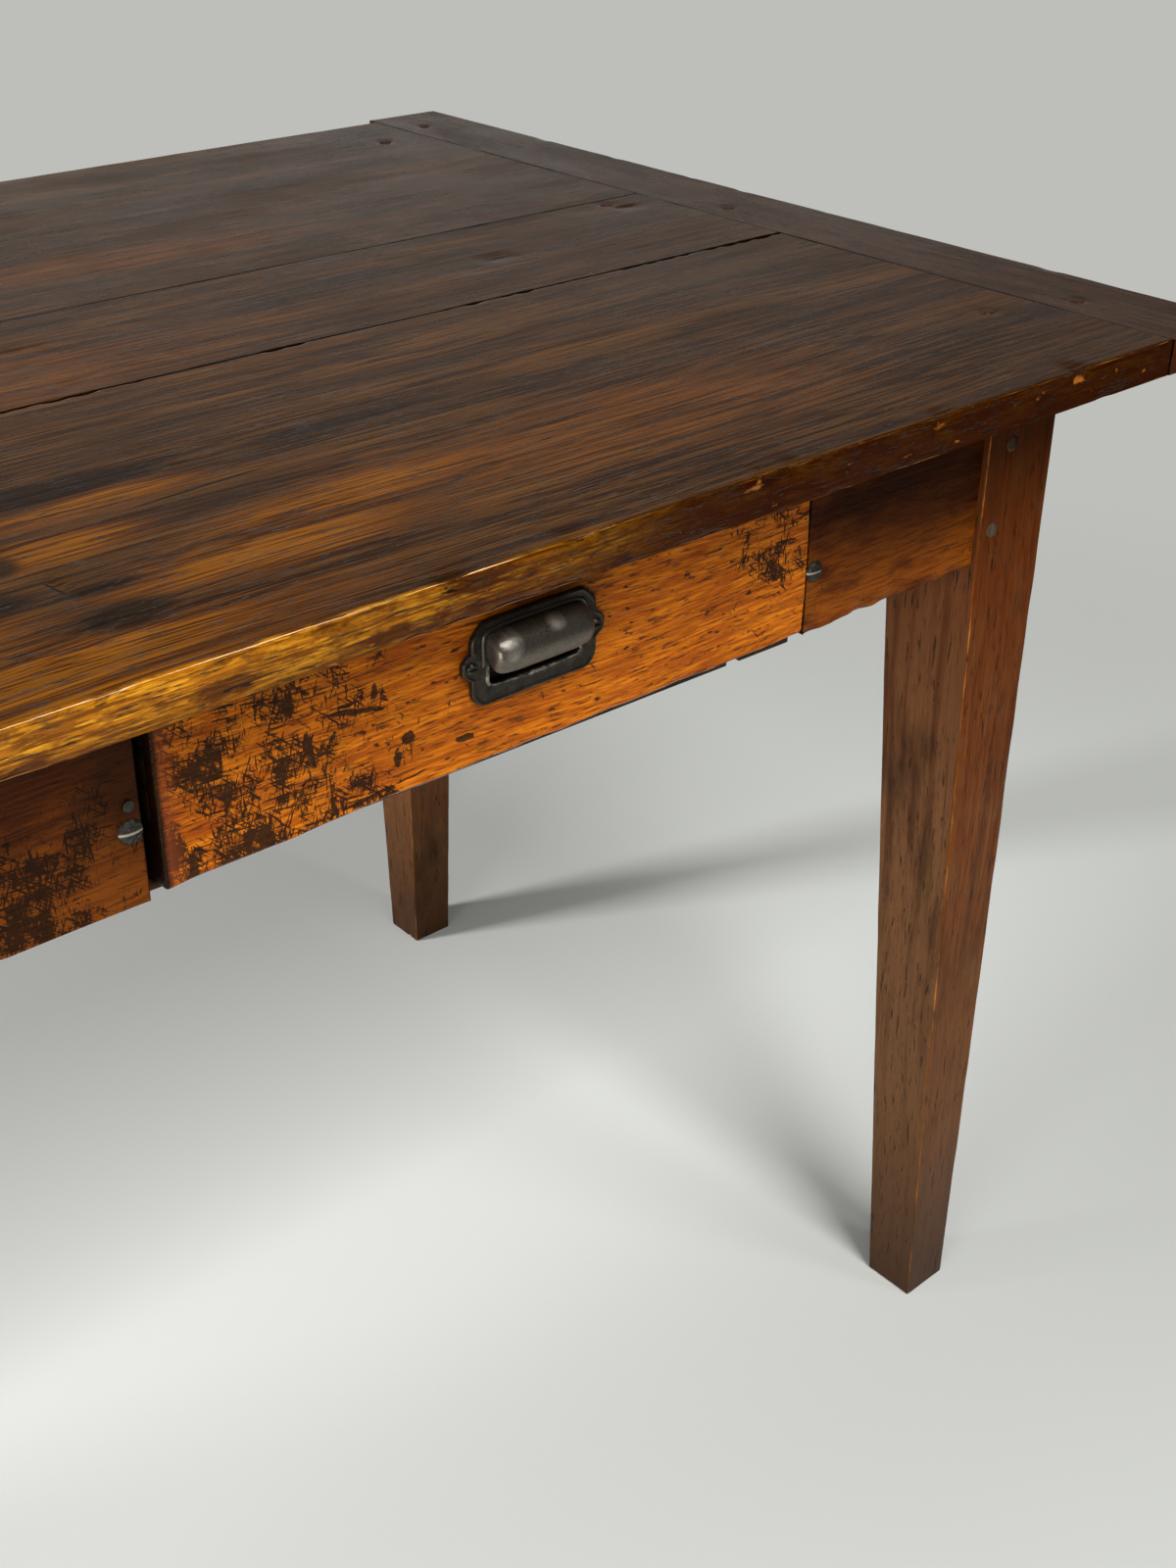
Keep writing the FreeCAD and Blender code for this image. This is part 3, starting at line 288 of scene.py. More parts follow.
# Where the top is worn golden, worn a little, stained with ink, and cracked
GOLDEN_WEAR = on_top(
    (225, -222, 115, 20, 0), (190, -262, 75, 26, 0), (265, -322, 130, 38, 0), (140, -374, 215, 46, 0),
    (60, -335, 130, 80, 0), (330, -288, 150, 30, 0), (-480, -390, 330, 120, 0), (-430, 330, 300, 90, 0))
WARM_WEAR = on_top(
    (250, -40, 330, 95, 0), (500, -300, 300, 80, 0), (420, 140, 330, 50, 0), (-380, 60, 460, 190, 0))
INK_STAINS = on_top(
    (205, -196, 150, 24, 0), (156, -264, 26, 24, 0), (180, -342, 46, 26, 0), (185, -310, 36, 10, 0),
    (130, -300, 50, 22, 0), (380, -205, 110, 14, 0), (-430, -300, 90, 40, 0))
CRACKS = on_top(
    (276, -238, 62, 1.6, 0.07), (169, -300, 1.5, 14, 0.15), (640, -10, 16, 3.5, 0), (800, 40, 17, 5, 0))
# Knocks that bared the wood along the front edge, as a centre and three reaches in mm
EDGE_KNOCKS = (
    ((744, FRONT_Y, 754), (10, 9, 5)), ((626, FRONT_Y, 754), (14, 9, 5)), ((487, FRONT_Y, 755), (14, 9, 4)),
    ((-350, FRONT_Y, 753), (10, 9, 7)), ((-610, FRONT_Y, 753), (10, 9, 7)))


def top_wood():
    """Old elm boards, stained nearly black, waxed for years and worn golden where people sat.

    The eye sees dark boards with warm bands, golden brown by the front edge, ink stains and a grey sheen.
    The edge itself is amber at the left and red brown at the right.
    """
    material, put = start_material("waxed_stained_elm")
    grain = wood_grain(put, "x")
    place = grain["place"]
    flame = put("Math", {0: grain["streaks"], 1: 0.6, 2: grain["blotch"]}, operation="MULTIPLY_ADD")
    flame = put("Math", {0: grain["fibres"], 1: 1.0, 2: flame}, operation="MULTIPLY_ADD")
    golden, warm, ink = (
        put("Math", {0: spots(put, place, marks), 1: 1.3, 2: flame}, operation="MULTIPLY_ADD")
        for marks in (GOLDEN_WEAR, WARM_WEAR, INK_STAINS))
    bright = put("Math", {0: grain["fibres"], 1: 2.0, 2: golden}, operation="MULTIPLY_ADD")
    boards = paint(put, linear("#2b190e"), [
        ("#5a3814", grain["fibres"], 0.46, 0.57, 0.7),
        ("#6c3c0c", warm, 1.5, 2.4, 0.7),
        ("#664016", grain["bands"], 0.52, 0.68, 0.6),
        ("#150d09", grain["streaks"], 0.51, 0.66, 0.8),
        ("#1f1612", grain["X"], 480, 800, 0.3),
        ("#663503", golden, 1.5, 2.3, 0.92),
        ("#86520a", bright, 3.1, 3.5, 0.6),
        ("#241104", grain["fibres"], 0.49, 0.42, 0.6),
        ("#110a06", ink, 1.72, 2.2, 0.8),
        ("#0e0703", grain["rings"], 0.2, 1.0, 0.25),
        ("#080402", grain["pores"], 0.58, 0.68, 0.65),
        ("#090503", grain["dents"], 0.0, 1.0, 0.85),
        ("#080503", spots(put, place, CRACKS), 0.1, 0.5, 0.95),
    ])
    knocks = put("Math", {0: grain["ripple"], 1: 3.0, 2: spots(put, place, EDGE_KNOCKS)},
                 operation="MULTIPLY_ADD")
    amber = paint(put, linear("#965a05"), [
        ("#4a2403", grain["fibres"], 0.52, 0.42, 0.8),
        ("#c88c1c", grain["short_fibres"], 0.50, 0.60, 0.7),
        ("#582c04", grain["ripple"], 0.50, 0.60, 0.6),
        ("#341202", grain["mottle"], 0.50, 0.59, 0.85),
        ("#3a1402", grain["Z"], 748, 739, 0.7),
        ("#220700", grain["X"], 180, 440, 0.96),
        ("#96581c", knocks, 1.98, 2.3, 0.8),
        ("#140602", grain["pores"], 0.57, 0.66, 0.8),
        ("#0c0502", grain["dents"], 0.0, 1.0, 0.85),
    ])
    front = put("MapRange", {"Value": grain["Y"], "From Min": FRONT_Y + 3, "From Max": FRONT_Y + 1})
    edged = put("Mix", {0: front, 6: boards, 7: amber}, **COLOUR_MIX)
    upper = put("MapRange", {"Value": grain["Z"], "From Min": TOP_Z - 16, "From Max": TOP_Z - 7})
    grain["polish"] = put("Math", {0: grain["arris"], 1: upper}, operation="MULTIPLY")
    # Painted highlight: a pale broken line along the polished front arris, full towards the left of the
    # table
    highlight_span = put("MapRange", {"Value": grain["X"], "From Min": 520, "From Max": 330})
    arris_highlight = put("MapRange", {"Value": grain["polish"], "From Min": 0.7, "From Max": 0.95, "To Max": highlight_span})
    arris_highlight = put("Math", {0: grain["mottle"], 1: 1.6, 2: arris_highlight}, operation="MULTIPLY_ADD")
    worn = paint(put, edged, [
        ("#a8701e", grain["rubbed"], 0.44, 0.62, 0.5),
        ("#e4b88c", arris_highlight, 1.54, 1.78, 0.85),
        ("#060302", grain["seam"], 0.15, 0.6, 0.95),
    ])
    relief = {"fibres": 0.14, "pits": -0.3, "dents": -0.8}
    finish_wood(put, worn, grain, (0.2, 0.34), 0.3, relief, CLEAR_WAX)
    return material


def old_wood(name, axis, dark, light, layers, roughness=(0.34, 0.5), gloss=0.16, rubbed="#b07a40",
             wax=AMBER_WAX):
    """Stained and waxed wood: fibres, dark streaks and rings, then its own layers, pores and worn corners.

    Each layer names a grain socket, and its colour shows where that socket goes from low to high.
    """
    material, put = start_material(name)
    grain = wood_grain(put, axis)
    own_layers = [(code, grain[key], low, high, most) for code, key, low, high, most in layers]
    colour = paint(put, linear(dark), [
        (light, grain["fibres"], 0.36, 0.66, 0.85),
        (dark, grain["streaks"], 0.48, 0.68, 0.6),
        (dark, grain["rings"], 0.2, 1.0, 0.3),
        *own_layers,
        (dark, grain["pores"], 0.60, 0.72, 0.7),
        (rubbed, grain["rubbed"], 0.40, 0.60, 0.6),
        ("#060302", grain["seam"], 0.15, 0.6, 0.95),
    ])
    finish_wood(put, colour, grain, roughness, gloss, {"fibres": 0.25, "pits": -0.4}, wax)
    return material


def leg_wood():
    """Elm legs under red brown wax: nearly black below the top, brown lower down, dull and dark at the feet.

    The eye sees smooth upright streaks, dark smudges and paler rubbed corners. A face that looks to the
    middle of the table has its place against its normal, and on a front leg it gets a painted sheen, a paler
    grey brown.
    """
    material, put = start_material("waxed_red_brown_elm")
    grain = wood_grain(put, "z")
    looks_out = put("VectorMath", {0: put("NewGeometry", out="Normal"), 1: grain["place"]}, out="Value",
                    operation="DOT_PRODUCT")
    # Painted sheen: the faces of the front legs that look to the middle are paler and greyer
    inner_sheen = put("Math", {0: grain["Y"], 1: 0.5, 2: looks_out}, operation="MULTIPLY_ADD")
    colour = paint(put, linear("#532608"), [
        ("#74400f", grain["fibres"], 0.42, 0.62, 0.6),
        ("#6c5038", inner_sheen, -680, -860, 0.5),
        ("#2e1104", grain["streaks"], 0.48, 0.64, 0.65),
        ("#6a4a2a", grain["mottle"], 0.48, 0.70, 0.4),
        ("#5e4026", grain["Z"], 420, 120, 0.6),
        ("#4c1e04", grain["Z"], 420, 620, 0.6),
        ("#1c0801", grain["Z"], 600, 735, 0.8),
        ("#21120a", grain["Z"], 170, -10, 0.8),
        ("#1c0d05", grain["blotch"], 0.58, 0.72, 0.7),
        ("#1c0d05", grain["dents"], 0.0, 1.0, 0.8),
        ("#241006", grain["pores"], 0.57, 0.68, 0.65),
        ("#b06c30", grain["rubbed"], 0.42, 0.56, 0.6),
    ])
    finish_wood(put, colour, grain, (0.34, 0.5), 0.14, {"fibres": 0.2, "pits": -0.3, "dents": -0.8})
    return material


# Painted shade on the front aprons: under the top by the right leg, and just left of the drawer
APRON_SHADES = (((700, -337, 725), (210, 60, 130)), ((184, -337, 700), (52, 60, 110)))


def apron_wood(axis):
    """Elm aprons under dark wax: nearly black below the top, worn orange along the lower edge, with painted
    shade across the right apron, deepest under the top, and beside the drawer.

    The eye sees streaks along the grain, and left of the drawer a duller wood, scored and full of black wax.
    """
    material, put = start_material("waxed_worn_elm_apron_" + axis)
    grain = wood_grain(put, axis)
    low = put("MapRange", {"Value": grain["Z"], "From Min": 710, "From Max": 650})
    worn = put("Math", {0: low, 1: 0.22, 2: grain["mottle"]}, operation="MULTIPLY_ADD")
    left = put("MapRange", {"Value": grain["X"], "From Min": 190, "From Max": 145, "To Max": 1.15})
    zone = put("Math", {0: low, 1: left}, operation="MULTIPLY")
    shade = spots(put, grain["place"], APRON_SHADES)
    colour = paint(put, linear("#2c0f03"), [
        ("#6a2e06", grain["fibres"], 0.40, 0.64, 0.6),
        ("#180803", grain["streaks"], 0.5, 0.64, 0.6),
        ("#86450a", worn, 0.54, 0.74, 0.75),
        ("#4a1e04", grain["short_fibres"], 0.52, 0.40, 0.7),
        # Painted shade
        ("#1c0701", shade, 0.0, 0.6, 0.85),
        ("#2e1508", left, 0.0, 1.0, 0.42),
        ("#0e0603", scored_marks(put, grain, zone, 0.45), 0.0, 1.0, 0.9),
        ("#100703", grain["pores"], 0.60, 0.72, 0.6),
        ("#a86a20", grain["rubbed"], 0.42, 0.60, 0.7),
        ("#060302", grain["seam"], 0.15, 0.6, 0.95),
    ])
    finish_wood(put, colour, grain, (0.36, 0.52), 0.12, {"fibres": 0.25, "pits": -0.4, "ripple": 0.5})
    return material


# Chips of black wax on the drawer front, and a long scratch near its lower edge
DRAWER_CHIPS = (
    ((318.8, -339, 652.7), (6, 12, 7)), ((312, -339, 642.9), (4, 12, 7)), ((300, -339, 683), (3, 12, 10)),
    ((352, -339, 640), (10, 12, 3)), ((290, -339, 676), (26, 12, 3), (0, 0.2, 0)),
    ((300, -339, 629), (60, 12, 1.5), (0, -0.09, 0)))
# The scored right end of the drawer front, then painted shade: near black in the hollow behind its pull, and
# dark round the pull and above it under the top
SCORED_RIGHT = (((570, -339, 685), (46, 40, 80)),)
PULL_HOLLOW_SHADE = (((395, -339, 678), (50, 30, 25)),)
PULL_PAINTED_SHADE = (((393, -339, 678), (66, 60, 42)), ((404, -339, 708), (72, 60, 26)))


def drawer_front_wood():
    """A cherry drawer front under orange brown wax, its left side blackened and scored.

    The eye sees bright orange wood with short flecks, crossed scratches full of black wax and dark blotches.
    """
    material, put = start_material("waxed_scored_cherry")
    grain = wood_grain(put, "x")
    place = grain["place"]
    left = put("MapRange", {"Value": grain["X"], "From Min": 345, "From Max": 275})
    right = spots(put, place, SCORED_RIGHT)
    zone = put("Math", {0: left, 1: right}, operation="MAXIMUM")
    chipped = put("Math", {0: grain["ripple"], 1: 3.0, 2: spots(put, place, DRAWER_CHIPS)},
                  operation="MULTIPLY_ADD")
    hollow_shade = spots(put, place, PULL_HOLLOW_SHADE)
    pull_shade = spots(put, place, PULL_PAINTED_SHADE)
    colour = paint(put, linear("#8c4206"), [
        ("#c06e0e", grain["short_fibres"], 0.42, 0.60, 0.75),
        ("#6a2e04", grain["rings"], 0.1, 1.0, 0.35),
        ("#7a3006", grain["mottle"], 0.52, 0.68, 0.6),
        ("#3a1604", grain["pores"], 0.55, 0.63, 0.75),
        # Painted shade: darker under the overhang of the top
        ("#381504", grain["Z"], 700, 735, 0.85),
        ("#130a06", scored_marks(put, grain, zone, 0.8), 0.0, 1.0, 0.94),
        ("#130a06", chipped, 1.85, 2.0, 0.9),
        ("#6c3018", grain["X"], 196, 186, 0.7),
        # Painted shade round the pull and above it, under the overhang of the top
        ("#1c0a02", pull_shade, 0.05, 0.8, 0.85),
        # Painted shade, near black, in the hollow behind the pull
        ("#030201", hollow_shade, 0.0, 0.15, 1.0),
        ("#b07a34", grain["rubbed"], 0.42, 0.60, 0.6),
        # Painted shade: the drawer front's left side black in the gap beside the apron
        ("#060302", grain["X"], 187, 184.5, 0.97),
        ("#060302", grain["seam"], 0.15, 0.6, 0.97),
    ])
    finish_wood(put, colour, grain, (0.32, 0.46), 0.16, {"short_fibres": 0.3, "pits": -0.4, "ripple": 0.9})
    return material


# Painted highlights on the hood of the pull, at its left end and its middle, as a centre and three reaches
# in mm
PAINTED_HOOD_HIGHLIGHT = (((373, -352, 689), (10, 30, 13)), ((402, -352, 692), (10, 30, 6)))
# Grain of the cast skin, of its wear and of the oxide on a screw, in mm. Cast grain is finer, and is drawn
# this coarse so that it shows.
CAST_GRAIN = 1.1
CAST_WEAR = 6
OXIDE_GRAIN = 1.5


def blackened_iron():
    """Cast iron, blackened and waxed: a near black satin plate, and a grey hood with painted highlights.

    The eye sees a fine cast skin and bare bright metal along the ridges. The mark hood is 1 on the hood.
    """
    material, put = start_material("blackened_cast_iron")
    place = put("VectorMath", {0: put("TexCoord", out="Object"), "Scale": 1 / MM}, operation="SCALE")
    cast = put("TexNoise", {"Vector": place, "Scale": 1 / CAST_GRAIN, "Detail": 4, "Roughness": 0.6})
    worn = put("TexNoise", {"Vector": place, "Scale": 1 / CAST_WEAR, "Detail": 5, "Roughness": 0.65})
    hood = put("Attribute", out="Fac", attribute_name="hood")
    arris = put("Attribute", out="Fac", attribute_name="arris")
    rubbed = put("Math", {0: arris, 1: worn}, operation="MULTIPLY")
    # Painted highlight on the hood
    hood_highlight = put("Math", {0: spots(put, place, PAINTED_HOOD_HIGHLIGHT), 1: worn}, operation="MULTIPLY")
    colour = paint(put, linear("#332d26"), [
        ("#6c655a", hood, 0.0, 1.0, 0.9),
        ("#575045", worn, 0.45, 0.7, 0.5),
        ("#1e1a16", cast, 0.5, 0.7, 0.5),
        ("#d0c8ba", hood_highlight, 0.12, 0.56, 0.9),
        ("#b8b0a0", rubbed, 0.47, 0.64, 0.7),
    ])
    bump = put("Bump", {"Height": cast, "Strength": 0.7, "Distance": 0.15 * MM})
    rough = put("MapRange", {"Value": worn, "From Min": 0.3, "From Max": 0.7, "To Min": 0.27, "To Max": 0.4})
    shader = put("BsdfPrincipled", {
        "Base Color": colour, "Metallic": 0.8, "Roughness": rough, "Normal": bump})
    put("OutputMaterial", {"Surface": shader})
    return material


def dull_steel():
    """Old screw steel: dark with oxide, and bright where a driver has rubbed its slot."""
    material, put = start_material("dull_screw_steel")
    place = put("VectorMath", {0: put("TexCoord", out="Object"), "Scale": 1 / MM}, operation="SCALE")
    oxide = put("TexNoise", {"Vector": place, "Scale": 1 / OXIDE_GRAIN, "Detail": 3})
    arris = put("Attribute", out="Fac", attribute_name="arris")
    colour = paint(put, linear("#1e1b18"), [
        ("#544e46", oxide, 0.45, 0.7, 0.7),
        ("#b8b0a0", arris, 0.2, 0.9, 0.9),
    ])
    bump = put("Bump", {"Height": oxide, "Strength": 0.6, "Distance": 0.12 * MM})
    shader = put("BsdfPrincipled", {
        "Base Color": colour, "Metallic": 0.6, "Roughness": 0.6, "Normal": bump})
    put("OutputMaterial", {"Surface": shader})
    return material


# Bare old pine inside the table: pale, dry and dull, with grimy blotches
PINE = {"dark": "#4a2f18", "light": "#9a7648", "roughness": (0.6, 0.75), "rubbed": "#a88458"}
GRIMY = ("#5a3c20", "blotch", 0.5, 0.7, 0.6)
MATERIALS = {
    "top_wood": top_wood(),
    # Stained elm across the ends: as dark as the boards and as glossy, with a red brown front edge
    "breadboard_wood": old_wood(
        "waxed_stained_elm_end", "y", "#1e120b", "#4e3019",
        [("#0e0805", "blotch", 0.5, 0.7, 0.6), ("#3a1404", "Y", -394, -397.5, 0.8)],
        roughness=(0.2, 0.34), gloss=0.34, rubbed="#8a5a28", wax=CLEAR_WAX),
    "leg_wood": leg_wood(),
    "apron_x": apron_wood("x"),
    "apron_y": apron_wood("y"),
    # Elm under old dark wax, coloured almost black as painted shade under the drawer
    "rail": old_wood("dark_elm_rail", "x", "#120804", "#3a1c0a", []),
    "drawer_front_wood": drawer_front_wood(),
    "inner_x": old_wood("bare_old_pine_cross", "x", layers=[GRIMY], **PINE),
    # Bare pine, blackened at the front by painted shade where the gap beside the drawer shows it
    "inner_y": old_wood("bare_old_pine", "y", layers=[GRIMY, ("#060302", "Y", -285, -312, 0.97)], **PINE),
    # Whittled pegs: dark end grain with grey flecks, palest in the lower row on the legs
    "peg_wood": old_wood(
        "dark_end_grain", "z", "#2a1c14", "#6a5848",
        [("#120a06", "blotch", 0.5, 0.7, 0.5), ("#26140a", "Z", 665, 690, 0.7)], gloss=0.3),
    "pull_iron": blackened_iron(),
    "screw_steel": dull_steel(),
}


# Worn boards

# Distances over which a joint darkens a board and a corner stays crisp, in mm
SEAM_REACH = 1.5
CRISP_REACH = 8.0
# The share that the corner radius loses at a seam and at a crisp side
SEAM_CRISP = 0.75
FULL_CRISP = 0.96
# Grid lines near a corner, as shares of its radius, and round a fine mark, in mm
CORNER_LINES = np.array([0, 0.1, 0.22, 0.38, 0.58, 0.8, 1.1, 1.6])
MARK_LINES = np.linspace(-9, 9, 13)
# Cells of the noises that vary the corner radius, the long and short waves and the ragged dents, in mm
RADIUS_CELL, LONG_CELL, SHORT_CELL, RAGGED_CELL = 26.0, 90.0, 22.0, 3.0


def board_surface(low, high, edge, step, seed, wave=0.5, fine=(), dents=(), seams=(), crisp=()):
    """The points, quads and arris marks of a box with worn corners, sizes in mm.

    The six faces are grids, closer near the corners and round the marks in `fine`. Each point is pulled into
    the box shrunk by the corner radius and pushed back out by that radius along the line between the two,
    which rounds the corners. Smooth noise and the dents then lower the surface and never raise it.
    A seam is an axis and a side, 0 for low and 1 for high, where the board meets another. Corners are
    sharper at a seam and almost sharp at a crisp side.
    """
    close = edge * CORNER_LINES
    stops = []
    for axis in range(3):
        span = (low[axis] + close[-1], high[axis] - close[-1])
        count = max(1, round((span[1] - span[0]) / step[axis]))
        inside = [np.linspace(*span, count + 1), *(mark[axis] + MARK_LINES for mark in fine)]
        inside = np.unique(np.round(np.concatenate(inside), 1))
        inside = inside[(inside > span[0]) & (inside < span[1])]
        stops.append(np.concatenate((low[axis] + close, inside, (high[axis] - close)[::-1])))
    sharp, quads, start = [], [], 0
    for axis in range(3):
        second, third = (axis + 1) % 3, (axis + 2) % 3
        u, v = np.meshgrid(stops[second], stops[third], indexing="ij")
        faces = grid_quads(*u.shape)
        for side, turned in ((low, faces[:, ::-1]), (high, faces)):
            face = np.empty((u.size, 3))
            face[:, axis], face[:, second], face[:, third] = side[axis], u.ravel(), v.ravel()
            sharp.append(face)
            quads.append(turned + start)
            start += u.size
    sharp = np.concatenate(sharp)
    gaps = np.sort(np.minimum(sharp - low, high - sharp), axis=1)
    arris = np.exp(-gaps[:, 1] / edge)
    radius = edge * (0.7 + 0.3 * lattice_noise(sharp, RADIUS_CELL, seed))
    for axis, side in seams:
        away = np.abs(sharp[:, axis] - (low, high)[side][axis])
        joined = np.exp(-away / SEAM_REACH)
        arris = arris * (1 - joined) - joined
        radius *= 1 - SEAM_CRISP * np.exp(-away / CRISP_REACH)
    for axis, side in crisp:
        away = np.abs(sharp[:, axis] - (low, high)[side][axis])
        radius *= 1 - FULL_CRISP * np.exp(-away / CRISP_REACH)
    core = np.clip(sharp, low + radius[:, None], high - radius[:, None])
    outward = sharp - core
    outward /= np.linalg.norm(outward, axis=1, keepdims=True)
    long_wave = lattice_noise(sharp, LONG_CELL, seed + 1)
    short_wave = lattice_noise(sharp, SHORT_CELL, seed + 2)
    uneven = 0.6 * long_wave + 0.4 * short_wave
    sink = wave * (1 + uneven) / 2
    ragged = 0.75 + 0.25 * lattice_noise(sharp, RAGGED_CELL, seed + 3)
    for centre, reach, depth in dents:
        reach = np.array(reach)
        near = np.flatnonzero((np.abs(sharp - centre) < 1.5 * reach).all(axis=1))
        far = np.linalg.norm((sharp[near] - centre) / reach, axis=1)
        sink[near] += depth * np.exp(-far ** 4) * ragged[near]
    points = core + (radius - sink)[:, None] * outward
    return points, np.concatenate(quads), arris


def worn_board(node, body, slot, material, edge, step, seed, low=None, high=None, shape=None, **wear):
    """A worn board in the place of one CAD node, reshaped by a function of its points if there is one."""
    box = box_mm(node)
    low = box[0] if low is None else low
    high = box[1] if high is None else high
    points, quads, arris = board_surface(low, high, edge, step, seed, **wear)
    if shape:
        points = shape(points, low, high)
    new_piece("worn_" + node, points, quads, body, slot, MATERIALS[material], node,
              arris=arris, plank=np.full(len(points), float(seed)))


def chips(seed, count, low, high, size, depth):
    """Small chips at random places in a box: a place, three reaches and a depth each, in mm."""
    draw = np.random.default_rng(seed)
    places = draw.uniform(low, high, (count, 3))
    sizes = draw.uniform(0.4, 1.0, count)
    return [(place, np.array(size) * big, depth * big) for place, big in zip(places, sizes)]


# Top

END_X, TABLE_END_X = box_mm("breadboard_end_right")[:, 0]
CROSS_HALF = box_mm("breadboard_end_right")[1][1]
BREADBOARD_PEG_YS = (-313.5, -9.3, 351.5)
BREADBOARD_PEG_X = 854.0
TOP_PEG_YS = (-292.5, 52.5, 322.5)
TOP_PEG_X = 792.5
X_LOW, X_HIGH, Y_LOW, Y_HIGH, Z_LOW, Z_HIGH = ((axis, side) for axis in range(3) for side in (0, 1))

# Chips and pits, each with a place, three reaches and a depth in mm
front_chips = [
    ((744, FRONT_Y, TOP_Z), (8, 5, 7), 2.4), ((627, FRONT_Y, TOP_Z), (9, 4, 6), 2.0),
    ((515, FRONT_Y, TOP_Z), (7, 4, 5), 1.8), ((495, FRONT_Y, TOP_Z), (5, 4, 5), 1.6),
    ((303, FRONT_Y, TOP_Z), (8, 4, 5), 2.0), ((374, FRONT_Y, TOP_Z), (6, 4, 5), 1.6),
    ((172, -300, TOP_Z), (2.5, 12, 4), 1.2),
    *chips(41, 60, (-END_X, FRONT_Y, TOP_Z), (END_X, FRONT_Y, TOP_Z), (6, 3, 3), 1.3),
    *chips(42, 40, (-END_X, FRONT_Y, TOP_LOW_Z), (END_X, FRONT_Y, TOP_LOW_Z), (9, 3, 3), 1.0),
]
joint_chips = chips(43, 70, (-END_X, JOINT_Y, TOP_Z), (END_X, JOINT_Y, TOP_Z), (7, 2.5, 3), 1.0)
middle_pits = [
    ((640, -10, TOP_Z), (14, 3, 4), 1.4), ((800, 40, TOP_Z), (14, 4, 4), 1.4),
    *chips(44, 30, (180, -75, TOP_Z), (380, 10, TOP_Z), (7, 2, 3), 1.0),
]
# Corner radius, step of the grid, dents and seams of each board, in mm
TOP_BOARDS = {
    "top_plank_front": (3.2, (3.6, 14.0, 5.0), front_chips + joint_chips, [Y_HIGH]),
    "top_plank_middle": (1.6, (3.8, 8.0, 6.0), middle_pits + joint_chips, [Y_LOW, Y_HIGH]),
    "top_plank_back": (1.6, (4.0, 8.0, 6.0), [], [Y_LOW]),
}
for number, (node, (edge, step, dents, seams)) in enumerate(TOP_BOARDS.items()):
    low, high = box_mm(node)
    low[0], high[0] = -END_X, END_X
    pegs = [(side * TOP_PEG_X, TOP_PEG_YS[number], TOP_Z) for side in SIDES]
    sunk = [(peg, (8, 8, 4), 0.5) for peg in pegs]
    worn_board(node, "table", "top_wood", "top_wood", edge, step, seed=number + 1, low=low, high=high,
               fine=pegs, dents=dents + sunk, seams=[X_LOW, X_HIGH, *seams], crisp=[Z_LOW])
for number, (side, sign, seam) in enumerate((("right", 1, X_LOW), ("left", -1, X_HIGH))):
    pegs = [(sign * BREADBOARD_PEG_X, y, TOP_Z) for y in BREADBOARD_PEG_YS]
    sunk = [(peg, (7, 7, 4), 0.5) for peg in pegs]
    end_chips = chips(45 + number, 12, (sign * TABLE_END_X, -CROSS_HALF, TOP_Z),
                      (sign * TABLE_END_X, CROSS_HALF, TOP_Z), (3, 8, 3), 0.6)
    worn_board("breadboard_end_" + side, "table", "breadboard_wood", "breadboard_wood", edge=2.4,
               step=(6.0, 3.0, 5.0), seed=number + 5, fine=pegs, dents=sunk + end_chips, seams=[seam],
               crisp=[Z_LOW])


# Legs

# The height where the taper starts, the width of a foot, and the height up to which legs are chipped, in mm
LEG_TAPER_TOP = 613.0
FOOT_WIDTH = 40.0
KNOCK_TOP = 600
# Height, distance from the middle in X and the two places in Y of each row of pegs
LEG_PEG_ROWS = ((695.0, 768.0, (-291.5, 282.5)), (642.0, 758.0, (-281.5, 272.5)))
PEG_LENGTH = 34.0


def tapered(points, low, high):
    """Draw the two inner faces in towards the outer corner, straight from the shoulder to the foot."""
    down = np.clip(1 - points[:, 2] / LEG_TAPER_TOP, 0, 1)
    points = points.copy()
    for axis in (0, 1):
        outer = high[axis] if high[axis] + low[axis] > 0 else low[axis]
        narrow = 1 - down * (1 - FOOT_WIDTH / (high[axis] - low[axis]))
        points[:, axis] = outer + (points[:, axis] - outer) * narrow
    return points


for number, (end, side) in enumerate(((0, 1), (0, 0), (1, 1), (1, 0))):
    node = "leg_" + ("front", "back")[end] + "_" + ("left", "right")[side]
    low, high = box_mm(node)
    face_y, face_x = (low, high)[end][1], (low, high)[side][0]
    pegs = [(SIDES[side] * x, face_y, z) for z, x, ys in LEG_PEG_ROWS]
    pegs += [(face_x, ys[end], z) for z, x, ys in LEG_PEG_ROWS]
    sunk = [(peg, (7.5, 7.5, 7.5), 0.6) for peg in pegs]
    knocks = chips(51 + number, 60, (low[0], low[1], 0), (high[0], high[1], KNOCK_TOP), (5, 5, 9), 1.2)
    worn_board(node, "table", "leg_wood", "leg_wood", edge=2.8, step=(4.0, 4.0, 4.0), seed=number + 11,
               shape=tapered, fine=pegs, dents=sunk + knocks, seams=[Z_HIGH])


# Aprons, drawer front and the slat under it

